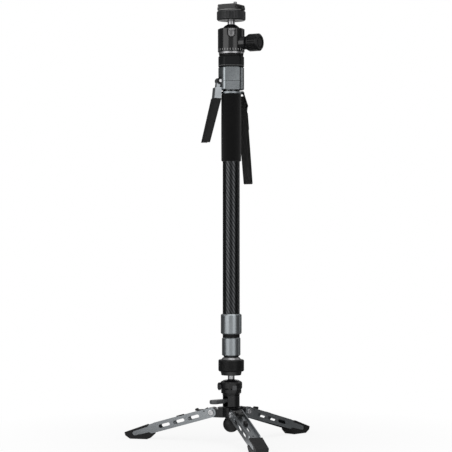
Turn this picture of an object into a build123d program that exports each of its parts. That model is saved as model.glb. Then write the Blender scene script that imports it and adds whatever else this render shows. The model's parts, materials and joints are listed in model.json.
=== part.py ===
from build123d import *

import os
from math import cos, degrees, pi, radians, sin, sqrt

# A telescoping camera monopod: ball head on top, squeeze lever and wrist strap beside the grip,
# three carbon sections, and a folding base with three legs on a ball joint.
# Millimetres. +Z is up, the pole's axis is Z, the floor is z = 0, and -Y is the front.

# Shared fits
running = 0.05  # radial play of a shaft, a stud or a tube that turns or slides in its bore
side_play = 0.3  # gap between faces that pass each other
seat_play = 0.1  # gap of a piece that drops into its pocket
overrun = 2.0  # how far a cut reaches past the face that it opens

# Legs and hub
leg_names = ["right", "left", "front"]
first_leg_azimuth = 45.2
leg_slope = 16.0
pivot_radius = 36.8
pivot_height = 54.6
leg_width = 23.0
leg_wall = 2.0
leg_root_radius = 9.2
leg_end_at = 122.0
tongue_root_radius = 5.8
tongue_radius = 4.2
tongue_at = 158.0
web_start = 24.0
web_end = 130.0
web_top = 5.2
web_thickness = 2.0
window_count = 3
window_length = 23.0
window_height = 6.8
window_pitch = 30.3
first_window_at = 36.0
top_slot_at = 85.0
top_slot_length = 19.0
top_slot_width = 4.6
drain_hole_at = 116.0
drain_hole_radius = 2.1
web_groove_width = 1.4
web_groove_depth = 0.5
web_groove_offset = 5.6

# Rubber boot and bumper on each leg
boot_start = 125.0
boot_top_start = 134.0
boot_end = 177.5
boot_side = 0.8
boot_crown = 9.7
heel_height = 9.0
sole_start = 137.0
sole_end = 170.0
nose_low_height = 6.0
nose_top_height = 12.2
bumper_at = 64.0
bumper_length = 15.0
bumper_width = 5.6
bumper_top = 10.9
bumper_round = 1.6

# Lock tab of each leg
tab_pivot_at = 12.5
tab_pivot_above = 6.2
tab_barrel_radius = 2.5
tab_pin_radius = 1.4
tab_width = 10.0
tab_thickness = 2.2
tab_nose_at = 8.6
tab_nose_above = 9.6
tab_end_at = 28.5
tab_end_above = 12.4
tab_end_radius = 2.4

# Pivot bolts
bolt_radius = 3.0
bolt_head_radius = 5.45
bolt_head_height = 2.8
bolt_head_round = 0.8
bolt_socket_radius = 2.6
bolt_socket_depth = 1.8

# Hub, its arms and the ball foot
hub_radius = 17.0
hub_low_below_pivot = 7.5
hub_high_above_pivot = 11.5
hub_round = 1.5
hub_waist_radius = 11.7
arm_width = 18.0
arm_root_radius = 10.4
arm_root_at = 13.0
arm_root_above_pivot = 1.1
knuckle_radius = 9.0
valley_radius = 15.4
valley_above_pivot = 6.7
spigot_radius = 8.0
spigot_below_foot_ball = 8.5
foot_ball_radius = 15.5
foot_ball_below_hub = 14.4
neck_spigot_radius = 9.0
neck_spigot_depth = 12.0

# Neck and pedal
neck_radius = 16.15
neck_length = 22.4
neck_bevel = 0.8
pedal_azimuth = 223.7
pedal_slot_width = 12.4
pedal_slot_below_pin = 11.0
pedal_slot_above_pin = 8.0
pedal_slot_inner = 7.0
pedal_pin_at = 10.0
pedal_pin_below_neck = 10.0
pedal_pin_radius = 1.5
pedal_pin_half_length = 11.0
pedal_arm_width = 11.6
pedal_arm_height = 6.0
pedal_arm_inner = 3.0
blade_root_at = 25.0
blade_root_radius = 7.5
blade_tip_at = 44.0
blade_tip_radius = 9.0
blade_below_pin = 4.6
blade_above_pin = 2.9
blade_round = 2.2

# Base ball joint
base_ball_radius = 15.0
base_ball_above_neck = 16.0
base_stem_radius = 6.4
stem_below_flange = 3.8
base_flange_radius = 9.0
base_flange_thickness = 3.5
housing_low_radius = 19.2
housing_high_radius = 20.9
step_low_below_ball = 5.5
step_high_below_ball = 2.5
shoulder_above_ball = 8.5
housing_above_ball = 12.0
housing_top_radius = 14.0
housing_foot_radius = 16.6
housing_foot_above_neck = 3.0
cup_bore_radius = 16.2
cup_below_ball = 6.0
cup_hole_radius = 5.0
base_lip_radius = 11.6
base_knob_azimuth = 195.0
base_knob_above_ball = 0.5
base_knob_radius = 7.6
base_knob_round_share = 0.968
base_knob_reach = 25.6
base_knob_thickness = 4.3
base_screw_radius = 2.5
slider_azimuth = -72.6
slider_width = 8.2
slider_below_ball = 6.1
slider_above_ball = 2.8
slider_back = 18.7
slider_front = 22.4
slider_travel = 4.0

# Column foot
socket_above_ball = 21.5
socket_low_radius = 18.6
socket_waist_radius = 20.2
socket_taper_length = 7.0
socket_core_radius = 17.5
socket_flange_radius = 18.8
ring_room = 22.8
socket_cone_length = 3.8
socket_high_radius = 15.9
base_ring_radius = 24.4
base_ring_top_bevel = 1.6
base_ring_rib_pitch = 2.1
base_ring_rib_radius = 0.5
tube_seat_below_flange = 5.6

# Carbon sections, from the widest down
top_tube_radius = 16.25
top_tube_wall = 1.5
top_tube_above_collar_end = 14.0
top_tube_length = 449.0
middle_tube_radius = 14.4
middle_tube_wall = 1.4
middle_tube_above_collar_end = 13.6
middle_tube_below_top = 37.0
lower_tube_radius = 12.5
lower_tube_wall = 1.5
lower_tube_below_middle = 32.0

# Collars and their guide bushes
upper_collar_radius = 19.8
upper_neck_gap = 6.4
upper_collar_length = 38.0
upper_neck_radius = 16.2
lower_collar_radius = 17.6
lower_neck_gap = 3.0
lower_collar_length = 35.0
lower_neck_radius = 14.2
collar_bevel = 1.8
collar_lip = 2.4
bush_wall = 1.6

# Release train inside the column
rod_across_flats = 6.0
rod_below_tube = 18.0
drum_radius = 7.0
drum_gap = 1.0
drum_length = 19.0
sleeve_across_flats = 10.0
sleeve_above_tube_end = 13.8
hex_play = 0.3
cam_long_radius = 8.0
cam_short_radius = 6.9
cam_height = 4.0
clutch_plug_length = 16.0
clutch_head_height = 7.6
clutch_floor = 1.4
clutch_cavity_radius = 8.6
clutch_bore_radius = 6.3
shoe_angle = 62.0
shoe_height = 5.0
shoe_count = 3

# Grip, strap collar and strap
grip_radius = 18.8
grip_length = 128.4
grip_below_tube_top = 7.0
grip_round = 1.6
strap_azimuth = 40.0
strap_collar_gap = 0.3
strap_collar_length = 3.4
strap_collar_radius = 19.5
lug_width = 9.0
lug_reach = 28.2
lug_hole_at = 25.0
lug_hole_radius = 2.3
lug_height = 4.2
loop_wire = 2.8
loop_top_inner = 10.2
loop_low_inner = 27.6
loop_drop = 26.0
loop_bar_radius = 1.4
loop_half_thickness = 1.0
strap_lean = 5.0
strap_width = 25.0
strap_layer = 2.0
strap_slit = 0.8
strap_length = 174.0
strap_low_share = 0.9
strap_lap_length = 70.0
strap_lap_thickness = 0.9

# Head of the column
head_radius = 24.5
head_gap = 0.3
column_head_length = 42.7
head_bevel = 1.2
head_flat = 20.2
head_flat_azimuth = -84.2
head_line_above_end = 25.7
head_line_width = 0.6
head_line_depth = 0.5
head_spigot_length = 25.3
head_cavity_radius = 9.0
head_cavity_above_end = 4.7
rod_bore_radius = 4.2
cap_length = 21.0
cap_bevel = 1.6
cap_line_above_end = 3.4
stud_radius = 4.76
stud_length = 13.5
stud_flange_radius = 8.6
stud_flange_thickness = 5.0

# Squeeze lever
lever_azimuth = 195.0
lever_pin_at = 23.5
lever_pin_above_end = 16.7
lever_pin_radius = 1.8
lever_pin_head_radius = 2.8
lever_pin_head = 0.8
lever_slot_width = 21.2
lever_slot_inner = 13.4
lever_slot_above_pin = 7.6
bracket_width = 20.8
bracket_gap = 12.6
bracket_nose_radius = 6.2
bracket_below_pin = 6.2
bracket_back = 4.0
eye_width = 12.0
eye_radius = 5.6
finger_height = 5.0
finger_width = 6.0
finger_inner = 7.6
finger_window_width = 8.0
finger_window_below = 3.6
finger_window_above = 5.8
arm_top_below_pin = 12.4
arm_inner_top = 20.9
arm_outer_top = 33.5
arm_inner_low = 22.9
arm_outer_low = 35.6
arm_end_below_pin = 33.0
lever_half_width = 10.0
lever_wall = 3.0
tang_end_below_pin = 84.0
tang_thickness = 3.0
tang_half_width = 7.0
cover_top_below_pin = 33.4
cover_end_below_pin = 117.0
cover_inner_top = 22.3
cover_outer_top = 37.0
cover_inner_low = 44.6
cover_outer_low = 56.6
cover_half_width = 12.0
cover_web = 7.4
cover_wall = 3.0
cover_round = 2.2

# Pan of the ball head
pan_groove_radius = 23.0
pan_gap = 0.3
pan_disc_radius = 23.7
pan_groove_length = 3.9
pan_disc_thickness = 3.8
pan_boss_radius = 20.0
pan_boss_length = 6.0
pan_knob_azimuth = 90.0
pan_knob_above_disc = 4.0
pan_knob_radius = 7.8
pan_knob_start = 26.0
pan_knob_end = 38.0
pan_screw_radius = 2.0
pan_screw_back = 2.8  # the screw stands drawn back, with the pan free

# Ball and housing of the head
ball_radius = 20.0
ball_above_floor = 25.3
housing_radius = 25.4
housing_gap = 0.3
housing_top_above_ball = 11.0
head_housing_bevel = 3.6
housing_floor_thickness = 8.4
head_bore_radius = 20.8
notch_half_width = 8.2
cup_flange_radius = 20.6
cup_flange_above_floor = 2.3
cup_tower_radius = 13.0
cup_tower_above_floor = 9.3
cup_inner_radius = 5.0
main_azimuth = -30.0
main_knob_above_floor = 7.3
boss_radius = 12.5
boss_end = 33.6
screw_radius = 4.0
screw_tip = 15.8
screw_end = 44.0
knob_start = 34.0
knob_cone_end = 41.0
knob_radius = 16.5
knob_end = 62.7
knob_bevel = 2.2
knob_dish_radius = 10.6
knob_dish_depth = 1.6
knob_button_radius = 8.2
knob_button_rise = 1.2
knob_flute_radius = 1.1
knob_flute_pitch = 4.3

# Stem and quick-release clamp
stem_radius = 7.0
stem_tail_radius = 5.0
stem_tail_above_ball = 6.0
stem_shoulder_above_ball = 26.3
stem_spigot_radius = 6.0
stem_spigot_length = 12.7
stem_flange_radius = 8.0
stem_flange_thickness = 2.4
clamp_azimuth = -27.5
clamp_ring_radius = 27.35
clamp_ring_below_shoulder = 0.3
clamp_ring_length = 18.2
clamp_ring_bevel = 2.0
clamp_ring_inner = 24.8
clamp_lip = 2.1
clamp_lip_radius = 14.0
clamp_rib_pitch = 2.9
clamp_rib_radius = 0.75
clamp_rib_margin = 2.6
clamp_body_radius = 24.5
clamp_rim_radius = 25.0
clamp_rim_gap = 0.3
clamp_rim_thickness = 1.5
clamp_hub_radius = 13.5
clamp_counterbore = 8.6
jaw_length = 34.0
jaw_outer_radius = 26.4
jaw_length_up = 4.8
jaw_slot_inner = 11.4
jaw_slot_depth = 13.0
jaw_tongue_inner = 14.0
jaw_tongue_outer = 21.6
jaw_tongue_width = 12.0

# Quick-release plate and camera screw
plate_side = 38.0
plate_gap = 0.3
plate_flange_thickness = 1.7
plate_flank = 2.4
plate_waist_above_foot = 4.9
plate_thickness = 9.7
plate_bevel = 1.2
plate_slot_width = 6.8
plate_slot_length = 27.0
plate_recess_width = 16.0
plate_recess_length = 32.4
plate_recess_depth = 3.5
pad_length = 27.0
pad_width = 7.0
pad_offset = 12.0
pad_sink = 0.6
pad_rise = 0.8
screw_at = 8.6
camera_thread_radius = 3.175
camera_neck_radius = 2.9
screw_above_plate = 5.5
camera_screw_bevel = 0.6
camera_head_radius = 7.0
screw_head_gap = 0.5
screw_head_thickness = 2.7
coin_slot_width = 1.6
coin_slot_depth = 1.2

# Heights, each from the piece that it stands on or hangs from
hub_low = pivot_height - hub_low_below_pivot
hub_high = pivot_height + hub_high_above_pivot
arm_root_height = pivot_height + arm_root_above_pivot
valley_floor = pivot_height + valley_above_pivot
foot_ball_height = hub_low - foot_ball_below_hub
spigot_low = foot_ball_height - spigot_below_foot_ball
neck_high = hub_high + neck_length
pedal_pin_height = neck_high - pedal_pin_below_neck
pedal_slot_low = pedal_pin_height - pedal_slot_below_pin
pedal_slot_high = pedal_pin_height + pedal_slot_above_pin
blade_low = pedal_pin_height - blade_below_pin
blade_high = pedal_pin_height + blade_above_pin
base_ball_height = neck_high + base_ball_above_neck
housing_step_low = base_ball_height - step_low_below_ball
housing_step_high = base_ball_height - step_high_below_ball
housing_shoulder = base_ball_height + shoulder_above_ball
housing_top = base_ball_height + housing_above_ball
housing_foot_high = neck_high + housing_foot_above_neck
cup_high = base_ball_height - cup_below_ball
base_knob_height = base_ball_height + base_knob_above_ball
slider_low = base_ball_height - slider_below_ball
slider_high = base_ball_height + slider_above_ball
socket_low = base_ball_height + socket_above_ball
socket_waist = socket_low + socket_taper_length
socket_flange_low = socket_waist + ring_room
socket_high = socket_flange_low + socket_cone_length
base_stem_high = socket_flange_low - stem_below_flange
tube_seat = socket_flange_low - tube_seat_below_flange
lower_collar_low = socket_high + lower_neck_gap
lower_collar_high = lower_collar_low + lower_collar_length
middle_tube_low = lower_collar_low + middle_tube_above_collar_end
upper_collar_low = lower_collar_high + upper_neck_gap
upper_collar_high = upper_collar_low + upper_collar_length
top_tube_low = upper_collar_low + top_tube_above_collar_end
top_tube_high = top_tube_low + top_tube_length
middle_tube_high = top_tube_high - middle_tube_below_top
lower_tube_high = middle_tube_high - lower_tube_below_middle
rod_low = top_tube_low - rod_below_tube
sleeve_low = middle_tube_low + sleeve_above_tube_end
grip_high = top_tube_high - grip_below_tube_top
grip_low = grip_high - grip_length
strap_collar_low = grip_high + strap_collar_gap
strap_collar_high = strap_collar_low + strap_collar_length
head_low = top_tube_high + head_gap
head_high = head_low + column_head_length
head_line_height = head_low + head_line_above_end
head_spigot_low = head_low - head_spigot_length
head_cavity_low = head_low + head_cavity_above_end
drum_low = head_cavity_low + drum_gap
drum_high = drum_low + drum_length
cap_high = head_high + cap_length
cap_line_height = head_high + cap_line_above_end
stud_high = cap_high + stud_length
lever_pin_height = head_low + lever_pin_above_end
lever_slot_high = lever_pin_height + lever_slot_above_pin
bracket_low = lever_pin_height - bracket_below_pin
arm_top = lever_pin_height - arm_top_below_pin
arm_low = lever_pin_height - arm_end_below_pin
tang_low = lever_pin_height - tang_end_below_pin
cover_high = lever_pin_height - cover_top_below_pin
cover_low = lever_pin_height - cover_end_below_pin
pan_groove_low = cap_high + pan_gap
pan_disc_low = pan_groove_low + pan_groove_length
pan_disc_high = pan_disc_low + pan_disc_thickness
pan_boss_high = pan_disc_high + pan_boss_length
pan_knob_height = pan_disc_high + pan_knob_above_disc
head_housing_low = pan_disc_high + housing_gap
head_floor = head_housing_low + housing_floor_thickness
ball_height = head_floor + ball_above_floor
head_housing_top = ball_height + housing_top_above_ball
cup_flange_high = head_floor + cup_flange_above_floor
cup_tower_high = head_floor + cup_tower_above_floor
main_height = head_floor + main_knob_above_floor
stem_tail_low = ball_height + stem_tail_above_ball
stem_shoulder = ball_height + stem_shoulder_above_ball
stem_spigot_high = stem_shoulder + stem_spigot_length
stem_flange_high = stem_spigot_high + stem_flange_thickness
clamp_ring_low = stem_shoulder - clamp_ring_below_shoulder
clamp_ring_high = clamp_ring_low + clamp_ring_length
clamp_rim_low = clamp_ring_high + clamp_rim_gap
clamp_top = clamp_rim_low + clamp_rim_thickness
jaw_top = clamp_top + jaw_length_up
jaw_slot_low = clamp_top - jaw_slot_depth
plate_low = clamp_top + plate_gap
plate_flange_high = plate_low + plate_flange_thickness
plate_waist_high = plate_low + plate_waist_above_foot
plate_high = plate_low + plate_thickness
camera_head_low = plate_low + screw_head_gap
camera_head_high = camera_head_low + screw_head_thickness
camera_screw_high = plate_high + screw_above_plate

nodes = {}


def keep(name, shape):
    """Put a finished piece on the list that is written out at the end."""
    nodes[name] = shape


def turned(*corners):
    """Revolve a closed outline of (radius, height) corners round the pole's axis."""
    profile = [corner for corner, last in zip(corners, corners[-1:] + corners[:-1]) if corner != last]
    wire = Polyline([(radius, 0, height) for radius, height in profile], close=True)
    return revolve(make_face(wire), axis=Axis.Z)


def tube(outer, inner, low, high, bevel=0):
    """A tube on the pole's axis, with its two outer edges bevelled."""
    return turned(
        (inner, low),
        (outer - bevel, low),
        (outer, low + bevel),
        (outer, high - bevel),
        (outer - bevel, high),
        (inner, high),
    )


def bar(radius, low, high, bevel=0):
    """A solid round bar on the pole's axis."""
    return tube(radius, 0, low, high, bevel)


def ball_at(radius, height):
    """A ball on the pole's axis."""
    return Pos(0, 0, height) * Sphere(radius)


def outward(azimuth, height=0):
    """Local frame at an azimuth: X points away from the pole, Y along the rim, Z up."""
    return Rot(0, 0, azimuth) * Pos(0, 0, height)


def spoke(radius, start, end):
    """A round bar along X, from start to end."""
    return Pos(start, 0, 0) * Rot(0, 90, 0) * Cylinder(
        radius, end - start, align=(Align.CENTER, Align.CENTER, Align.MIN)
    )


def crosspin(radius, length, at, height):
    """A round bar along Y, centred on the X-Z plane."""
    return Pos(at, 0, height) * Rot(90, 0, 0) * Cylinder(radius, length)


def block(start, end, width, low, high):
    """A box from start to end along X, low to high along Z, and centred in Y."""
    size = (end - start, width, high - low)
    return Pos((start + end) / 2, 0, (low + high) / 2) * Box(*size)


def slab(face, width, offset=0):
    """Extrude a face that was drawn as (X, Z) to a width in Y, centred on an offset."""
    return Pos(0, offset, 0) * extrude(Plane.XZ * face, amount=width / 2, both=True)


def outline(*corners):
    """A flat face with straight edges through its corners."""
    return make_face(Polyline([(x, y, 0) for x, y in corners], close=True))


def spot(x, y, radius):
    """A round face, for a pad, a hole or a corner of a hull."""
    return Pos(x, y) * Circle(radius)


def hull(*faces):
    """The outline that a tight band round several faces takes."""
    return make_hull([edge for face in faces for edge in face.edges()])


def ribbed(radius, groove, pitch, low, high):
    """A disc whose rim carries round upright grooves, evenly spaced."""
    count = round(2 * pi * radius / pitch)
    face = Circle(radius) - PolarLocations(radius, count) * Circle(groove)
    return Pos(0, 0, low) * extrude(face, amount=high - low)


def hexagon(across_flats, low, high):
    """A hexagonal bar on the pole's axis."""
    face = RegularPolygon(across_flats / 2, 6, major_radius=False)
    return Pos(0, 0, low) * extrude(face, amount=high - low)


def leg_frame(azimuth):
    """Local frame of a leg at rest: X runs down the leg from its pivot, Z is its upper side."""
    place = outward(azimuth) * Pos(pivot_radius, 0, pivot_height)
    return place * Rot(0, leg_slope, 0)


def above_floor(along, height):
    """Where, square to the leg's centre line, a point of a leg has this height over the floor."""
    drop = pivot_height - along * sin(radians(leg_slope))
    return (height - drop) / cos(radians(leg_slope))


def leg_side():
    """Outline of a leg's side plate, of one height down to the boot, with a narrow round tongue."""
    plate = hull(spot(0, 0, leg_root_radius), spot(leg_end_at, 0, leg_root_radius))
    return plate + hull(spot(leg_end_at, 0, tongue_root_radius), spot(tongue_at, 0, tongue_radius))


def leg_beam():
    """Channel of one leg: two windowed side plates joined by a web set below their edges."""
    inner = leg_width - 2 * leg_wall
    side = leg_side() - spot(0, 0, bolt_radius + running)
    side -= spot(tab_pivot_at, tab_pivot_above, tab_pin_radius + running)
    for step in range(window_count):
        window = SlotOverall(window_length, window_height)
        side -= Pos(first_window_at + step * window_pitch, 0) * window
    offset = (leg_width - leg_wall) / 2
    beam = slab(side, leg_wall, offset) + slab(side, leg_wall, -offset)
    web_low = web_top - web_thickness
    beam += block(web_start, web_end, inner, web_low, web_top)
    slot = SlotOverall(top_slot_length, top_slot_width)
    cut = Pos(top_slot_at, 0, web_low - overrun) * extrude(slot, amount=web_thickness + 2 * overrun)
    hole = Pos(drain_hole_at, 0, web_low) * Cylinder(drain_hole_radius, web_thickness + 2 * overrun)
    beam = beam - cut - hole
    groove_low = web_top - web_groove_depth
    for sign in (-1, 1):
        groove = block(web_start, web_end, web_groove_width, groove_low, web_top + overrun)
        beam -= Pos(0, sign * web_groove_offset, 0) * groove
    return beam


def leg_rubber():
    """Boot with a flat sole and a raised heel, pocketed for the tongues, and the bumper."""
    web_low = web_top - web_thickness
    profile = outline(
        (boot_start, above_floor(boot_start, heel_height)),
        (sole_start, above_floor(sole_start, 0)),
        (sole_end, above_floor(sole_end, 0)),
        (boot_end, above_floor(boot_end, nose_low_height)),
        (boot_end, above_floor(boot_end, nose_top_height)),
        (boot_top_start, boot_crown),
        (web_end + side_play, web_top),
        (web_end + side_play, web_low - side_play),
        (boot_start, web_low - side_play),
    )
    boot = slab(profile, leg_width + 2 * boot_side)
    pocket_width = leg_wall + boot_side + overrun
    inner = leg_width / 2 - leg_wall - seat_play
    tongue = offset(leg_side(), amount=seat_play)
    for sign in (-1, 1):
        boot -= slab(tongue, pocket_width, sign * (inner + pocket_width / 2))
    pad = RectangleRounded(bumper_length, bumper_width, bumper_round)
    pad = Pos(bumper_at, 0, web_top) * extrude(pad, amount=bumper_top - web_top)
    pad = fillet(pad.faces().sort_by(Axis.Z)[-1].edges(), bumper_round / 2)
    return Compound(children=[boot.solid(), pad.solid()])


def leg_tab():
    """Lock tab: a bent lever on its own trunnions, with a nose over the knuckle and a bead."""
    barrel = spot(tab_pivot_at, tab_pivot_above, tab_barrel_radius)
    half = tab_thickness / 2
    nose = hull(barrel, spot(tab_nose_at, tab_nose_above, half))
    lever = hull(barrel, spot(tab_end_at, tab_end_above - half, half))
    bead = spot(tab_end_at, tab_end_above, tab_end_radius)
    tab = slab(nose + lever + bead, tab_width)
    return tab + crosspin(tab_pin_radius, leg_width, tab_pivot_at, tab_pivot_above)


def leg_bolt():
    """Pivot bolt with a domed head and a hexagonal socket at each end."""
    reach = leg_width / 2 + side_play
    bolt = crosspin(bolt_radius, 2 * reach, 0, 0)
    for sign in (-1, 1):
        head = Rot(-90 * sign, 0, 0) * extrude(Circle(bolt_head_radius), amount=bolt_head_height)
        head = Pos(0, sign * reach, 0) * head
        rim = head.edges().filter_by(GeomType.CIRCLE).sort_by(Axis.Y)[-1 if sign > 0 else 0]
        bolt += fillet(rim, bolt_head_round)
        socket = extrude(RegularPolygon(bolt_socket_radius, 6), amount=bolt_socket_depth)
        bolt -= Pos(0, sign * (reach + bolt_head_height), 0) * Rot(90 * sign, 0, 0) * socket
    return bolt


def make_legs():
    """The three legs, each with its rubber and its lock tab, and their pivot bolts."""
    beam, rubber, tab, bolt = leg_beam(), leg_rubber(), leg_tab(), leg_bolt()
    step = 360 / len(leg_names)
    bolts = []
    for index, name in enumerate(leg_names):
        place = leg_frame(first_leg_azimuth + index * step)
        keep(f"leg_{name}", place * beam)
        keep(f"rubber_{name}", place * rubber)
        keep(f"tab_{name}", place * tab)
        bolts.append((place * bolt).solid())
    keep("leg_bolts", Compound(children=bolts))


def hub_arm():
    """One arm: a slab that runs out to the knuckle, with a valley that the tab's nose sweeps."""
    knuckle = spot(pivot_radius, pivot_height, knuckle_radius)
    arm = hull(spot(arm_root_at, arm_root_height, arm_root_radius), knuckle)
    ring = spot(pivot_radius, pivot_height, valley_radius) - knuckle
    upper = Pos(pivot_radius, valley_floor + valley_radius / 2) * Rectangle(2 * valley_radius, valley_radius)
    arm -= ring & upper
    return slab(arm, arm_width) - crosspin(bolt_radius, 2 * arm_width, pivot_radius, pivot_height)


def make_hub():
    """Three-armed hub with a spigot below for the ball foot and a bore above for the neck."""
    waist_top = hub_low + hub_round
    waist_low = foot_ball_height + sqrt(foot_ball_radius**2 - hub_waist_radius**2)
    hub = turned(
        (0, spigot_low),
        (spigot_radius, spigot_low),
        (spigot_radius, waist_low),
        (hub_waist_radius, waist_low),
        (hub_waist_radius, hub_low),
        (hub_radius - hub_round, hub_low),
        (hub_radius, waist_top),
        (hub_radius, hub_high - hub_round),
        (hub_radius - hub_round, hub_high),
        (0, hub_high),
    )
    step = 360 / len(leg_names)
    for index in range(len(leg_names)):
        hub += outward(first_leg_azimuth + index * step) * hub_arm()
    hub -= bar(neck_spigot_radius + running, hub_high - neck_spigot_depth, hub_high + overrun)
    keep("hub", hub)
    foot = ball_at(foot_ball_radius, foot_ball_height)
    foot -= bar(hub_waist_radius + running, waist_low, waist_low + foot_ball_radius)
    foot -= bar(spigot_radius + running, spigot_low - running, waist_low + overrun)
    keep("hub_foot", foot)


def make_neck():
    """Neck above the hub, with the slot and the cross hole that carry the pedal."""
    neck = bar(neck_radius, hub_high, neck_high, neck_bevel)
    neck += bar(neck_spigot_radius, hub_high - neck_spigot_depth, hub_high)
    slot = block(-pedal_slot_inner, neck_radius + overrun, pedal_slot_width, pedal_slot_low, pedal_slot_high)
    hole_length = 2 * (pedal_pin_half_length + side_play)
    hole = crosspin(pedal_pin_radius + running, hole_length, pedal_pin_at, pedal_pin_height)
    keep("base_neck", neck - outward(pedal_azimuth) * (slot + hole))


def make_pedal():
    """Foot pedal: a leaf-shaped blade on an arm with trunnions in the neck."""
    half = pedal_arm_height / 2
    inner = spot(-pedal_arm_inner, pedal_pin_height, half)
    outer = spot(blade_root_at, pedal_pin_height, half / 2)
    arm = slab(hull(inner, spot(pedal_pin_at, pedal_pin_height, half), outer), pedal_arm_width)
    leaf = hull(spot(blade_root_at, 0, blade_root_radius), spot(blade_tip_at, 0, blade_tip_radius))
    blade = Pos(0, 0, blade_low) * extrude(leaf, amount=blade_high - blade_low)
    rims = blade.faces().sort_by(Axis.Z)[-1].edges() + blade.faces().sort_by(Axis.Z)[0].edges()
    blade = fillet(rims, blade_round)
    pedal = arm + blade
    pedal += crosspin(pedal_pin_radius, 2 * pedal_pin_half_length, pedal_pin_at, pedal_pin_height)
    keep("pedal", outward(pedal_azimuth) * pedal)


def make_base_joint():
    """Housing, seat, ball, lock knob and slider of the joint under the column."""
    bevel = housing_step_high - housing_step_low
    shell = turned(
        (0, neck_high),
        (housing_foot_radius, neck_high),
        (housing_foot_radius, housing_foot_high - neck_bevel),
        (housing_low_radius, housing_foot_high + neck_bevel),
        (housing_low_radius, housing_step_low),
        (housing_high_radius, housing_step_high),
        (housing_high_radius, housing_shoulder - bevel / 2),
        (housing_high_radius - bevel / 2, housing_shoulder + bevel / 4),
        (housing_top_radius, housing_top),
        (0, housing_top),
    )
    cavity = base_ball_radius + side_play
    shell -= bar(cup_bore_radius, neck_high - overrun, base_ball_height)
    shell -= ball_at(cavity, base_ball_height)
    shell -= bar(base_lip_radius, base_ball_height, housing_top + overrun)
    knob_place = outward(base_knob_azimuth, base_knob_height)
    shell -= knob_place * spoke(base_screw_radius + running, 0, housing_high_radius + overrun)
    slider_place = outward(slider_azimuth)
    pocket_low = slider_low - slider_travel - side_play
    pocket = block(
        slider_back - side_play,
        housing_high_radius + overrun,
        slider_width + 2 * side_play,
        pocket_low,
        slider_high + side_play,
    )
    keep("base_housing", shell - slider_place * pocket)

    cup = tube(cup_bore_radius - seat_play, cup_hole_radius, neck_high + seat_play, cup_high)
    keep("base_cup", cup - ball_at(base_ball_radius + running, base_ball_height))

    stem_low = base_ball_height
    flange_low = base_stem_high - base_flange_thickness
    joint = ball_at(base_ball_radius, base_ball_height)
    joint += bar(base_stem_radius, stem_low, base_stem_high)
    joint += bar(base_flange_radius, flange_low, base_stem_high)
    keep("base_ball", joint)

    flat = RegularPolygon(base_knob_radius, 6) & Circle(base_knob_radius * base_knob_round_share)
    start = base_knob_reach - base_knob_thickness
    knob = Pos(start, 0, 0) * Rot(0, 90, 0) * extrude(flat, amount=base_knob_thickness)
    knob = chamfer(knob.faces().sort_by(Axis.X)[-1].edges(), neck_bevel)
    knob += spoke(base_screw_radius, base_ball_radius + side_play, start + seat_play)
    keep("base_knob", knob_place * knob)

    button = block(slider_back, slider_front, slider_width, slider_low, slider_high)
    button = chamfer(button.faces().sort_by(Axis.X)[-1].edges(), neck_bevel)
    keep("slider_button", slider_place * button)


def make_column_foot():
    """Turned socket under the lowest tube, and the ribbed ring that turns on it."""
    flange_low = base_stem_high - base_flange_thickness
    socket = turned(
        (base_stem_radius + running, socket_low),
        (socket_low_radius, socket_low),
        (socket_waist_radius, socket_waist),
        (socket_core_radius, socket_waist),
        (socket_core_radius, socket_flange_low),
        (socket_flange_radius, socket_flange_low),
        (socket_high_radius, socket_high),
        (lower_tube_radius + running, socket_high),
        (lower_tube_radius + running, tube_seat),
        (base_flange_radius + side_play, tube_seat),
        (base_flange_radius + side_play, flange_low - seat_play),
        (base_stem_radius + running, flange_low - seat_play),
    )
    keep("foot_socket", socket)
    low = socket_waist + side_play
    high = socket_flange_low - side_play
    bore = socket_core_radius + side_play
    ring = tube(base_ring_radius, bore, low, high, base_ring_top_bevel)
    band_low = low + base_ring_top_bevel
    band_high = high - base_ring_top_bevel
    ribs = ribbed(base_ring_radius, base_ring_rib_radius, base_ring_rib_pitch, band_low, band_high)
    skin = base_ring_radius - base_ring_rib_radius
    band = tube(base_ring_radius + overrun, skin - base_ring_rib_radius, band_low, band_high)
    keep("base_ring", ring - (band - ribs))


def make_tubes():
    """The three carbon sections, nested."""
    keep("top_tube", tube(top_tube_radius, top_tube_radius - top_tube_wall, top_tube_low, top_tube_high))
    bore = middle_tube_radius - middle_tube_wall
    keep("middle_tube", tube(middle_tube_radius, bore, middle_tube_low, middle_tube_high))
    bore = lower_tube_radius - lower_tube_wall
    keep("lower_tube", tube(lower_tube_radius, bore, tube_seat, lower_tube_high))


def collar_and_bush(radius, low, high, neck, outer_tube, inner_tube, tube_low, neck_low):
    """A screwed collar at the end of an outer tube, and the bush that guides the inner tube."""
    lip_high = low + collar_lip
    wide = neck + bush_wall
    tube_fit = outer_tube + running
    collar = turned(
        (neck + seat_play, low),
        (radius - collar_bevel, low),
        (radius, low + collar_bevel),
        (radius, high - collar_bevel),
        (radius - collar_bevel, high),
        (tube_fit, high),
        (tube_fit, tube_low),
        (wide + seat_play, tube_low),
        (wide + seat_play, lip_high),
        (neck + seat_play, lip_high),
    )
    bush = turned(
        (inner_tube + running, neck_low),
        (neck, neck_low),
        (neck, lip_high + seat_play),
        (wide, lip_high + bush_wall),
        (wide, tube_low - side_play),
        (inner_tube + running, tube_low - side_play),
    )
    return collar, bush


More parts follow.
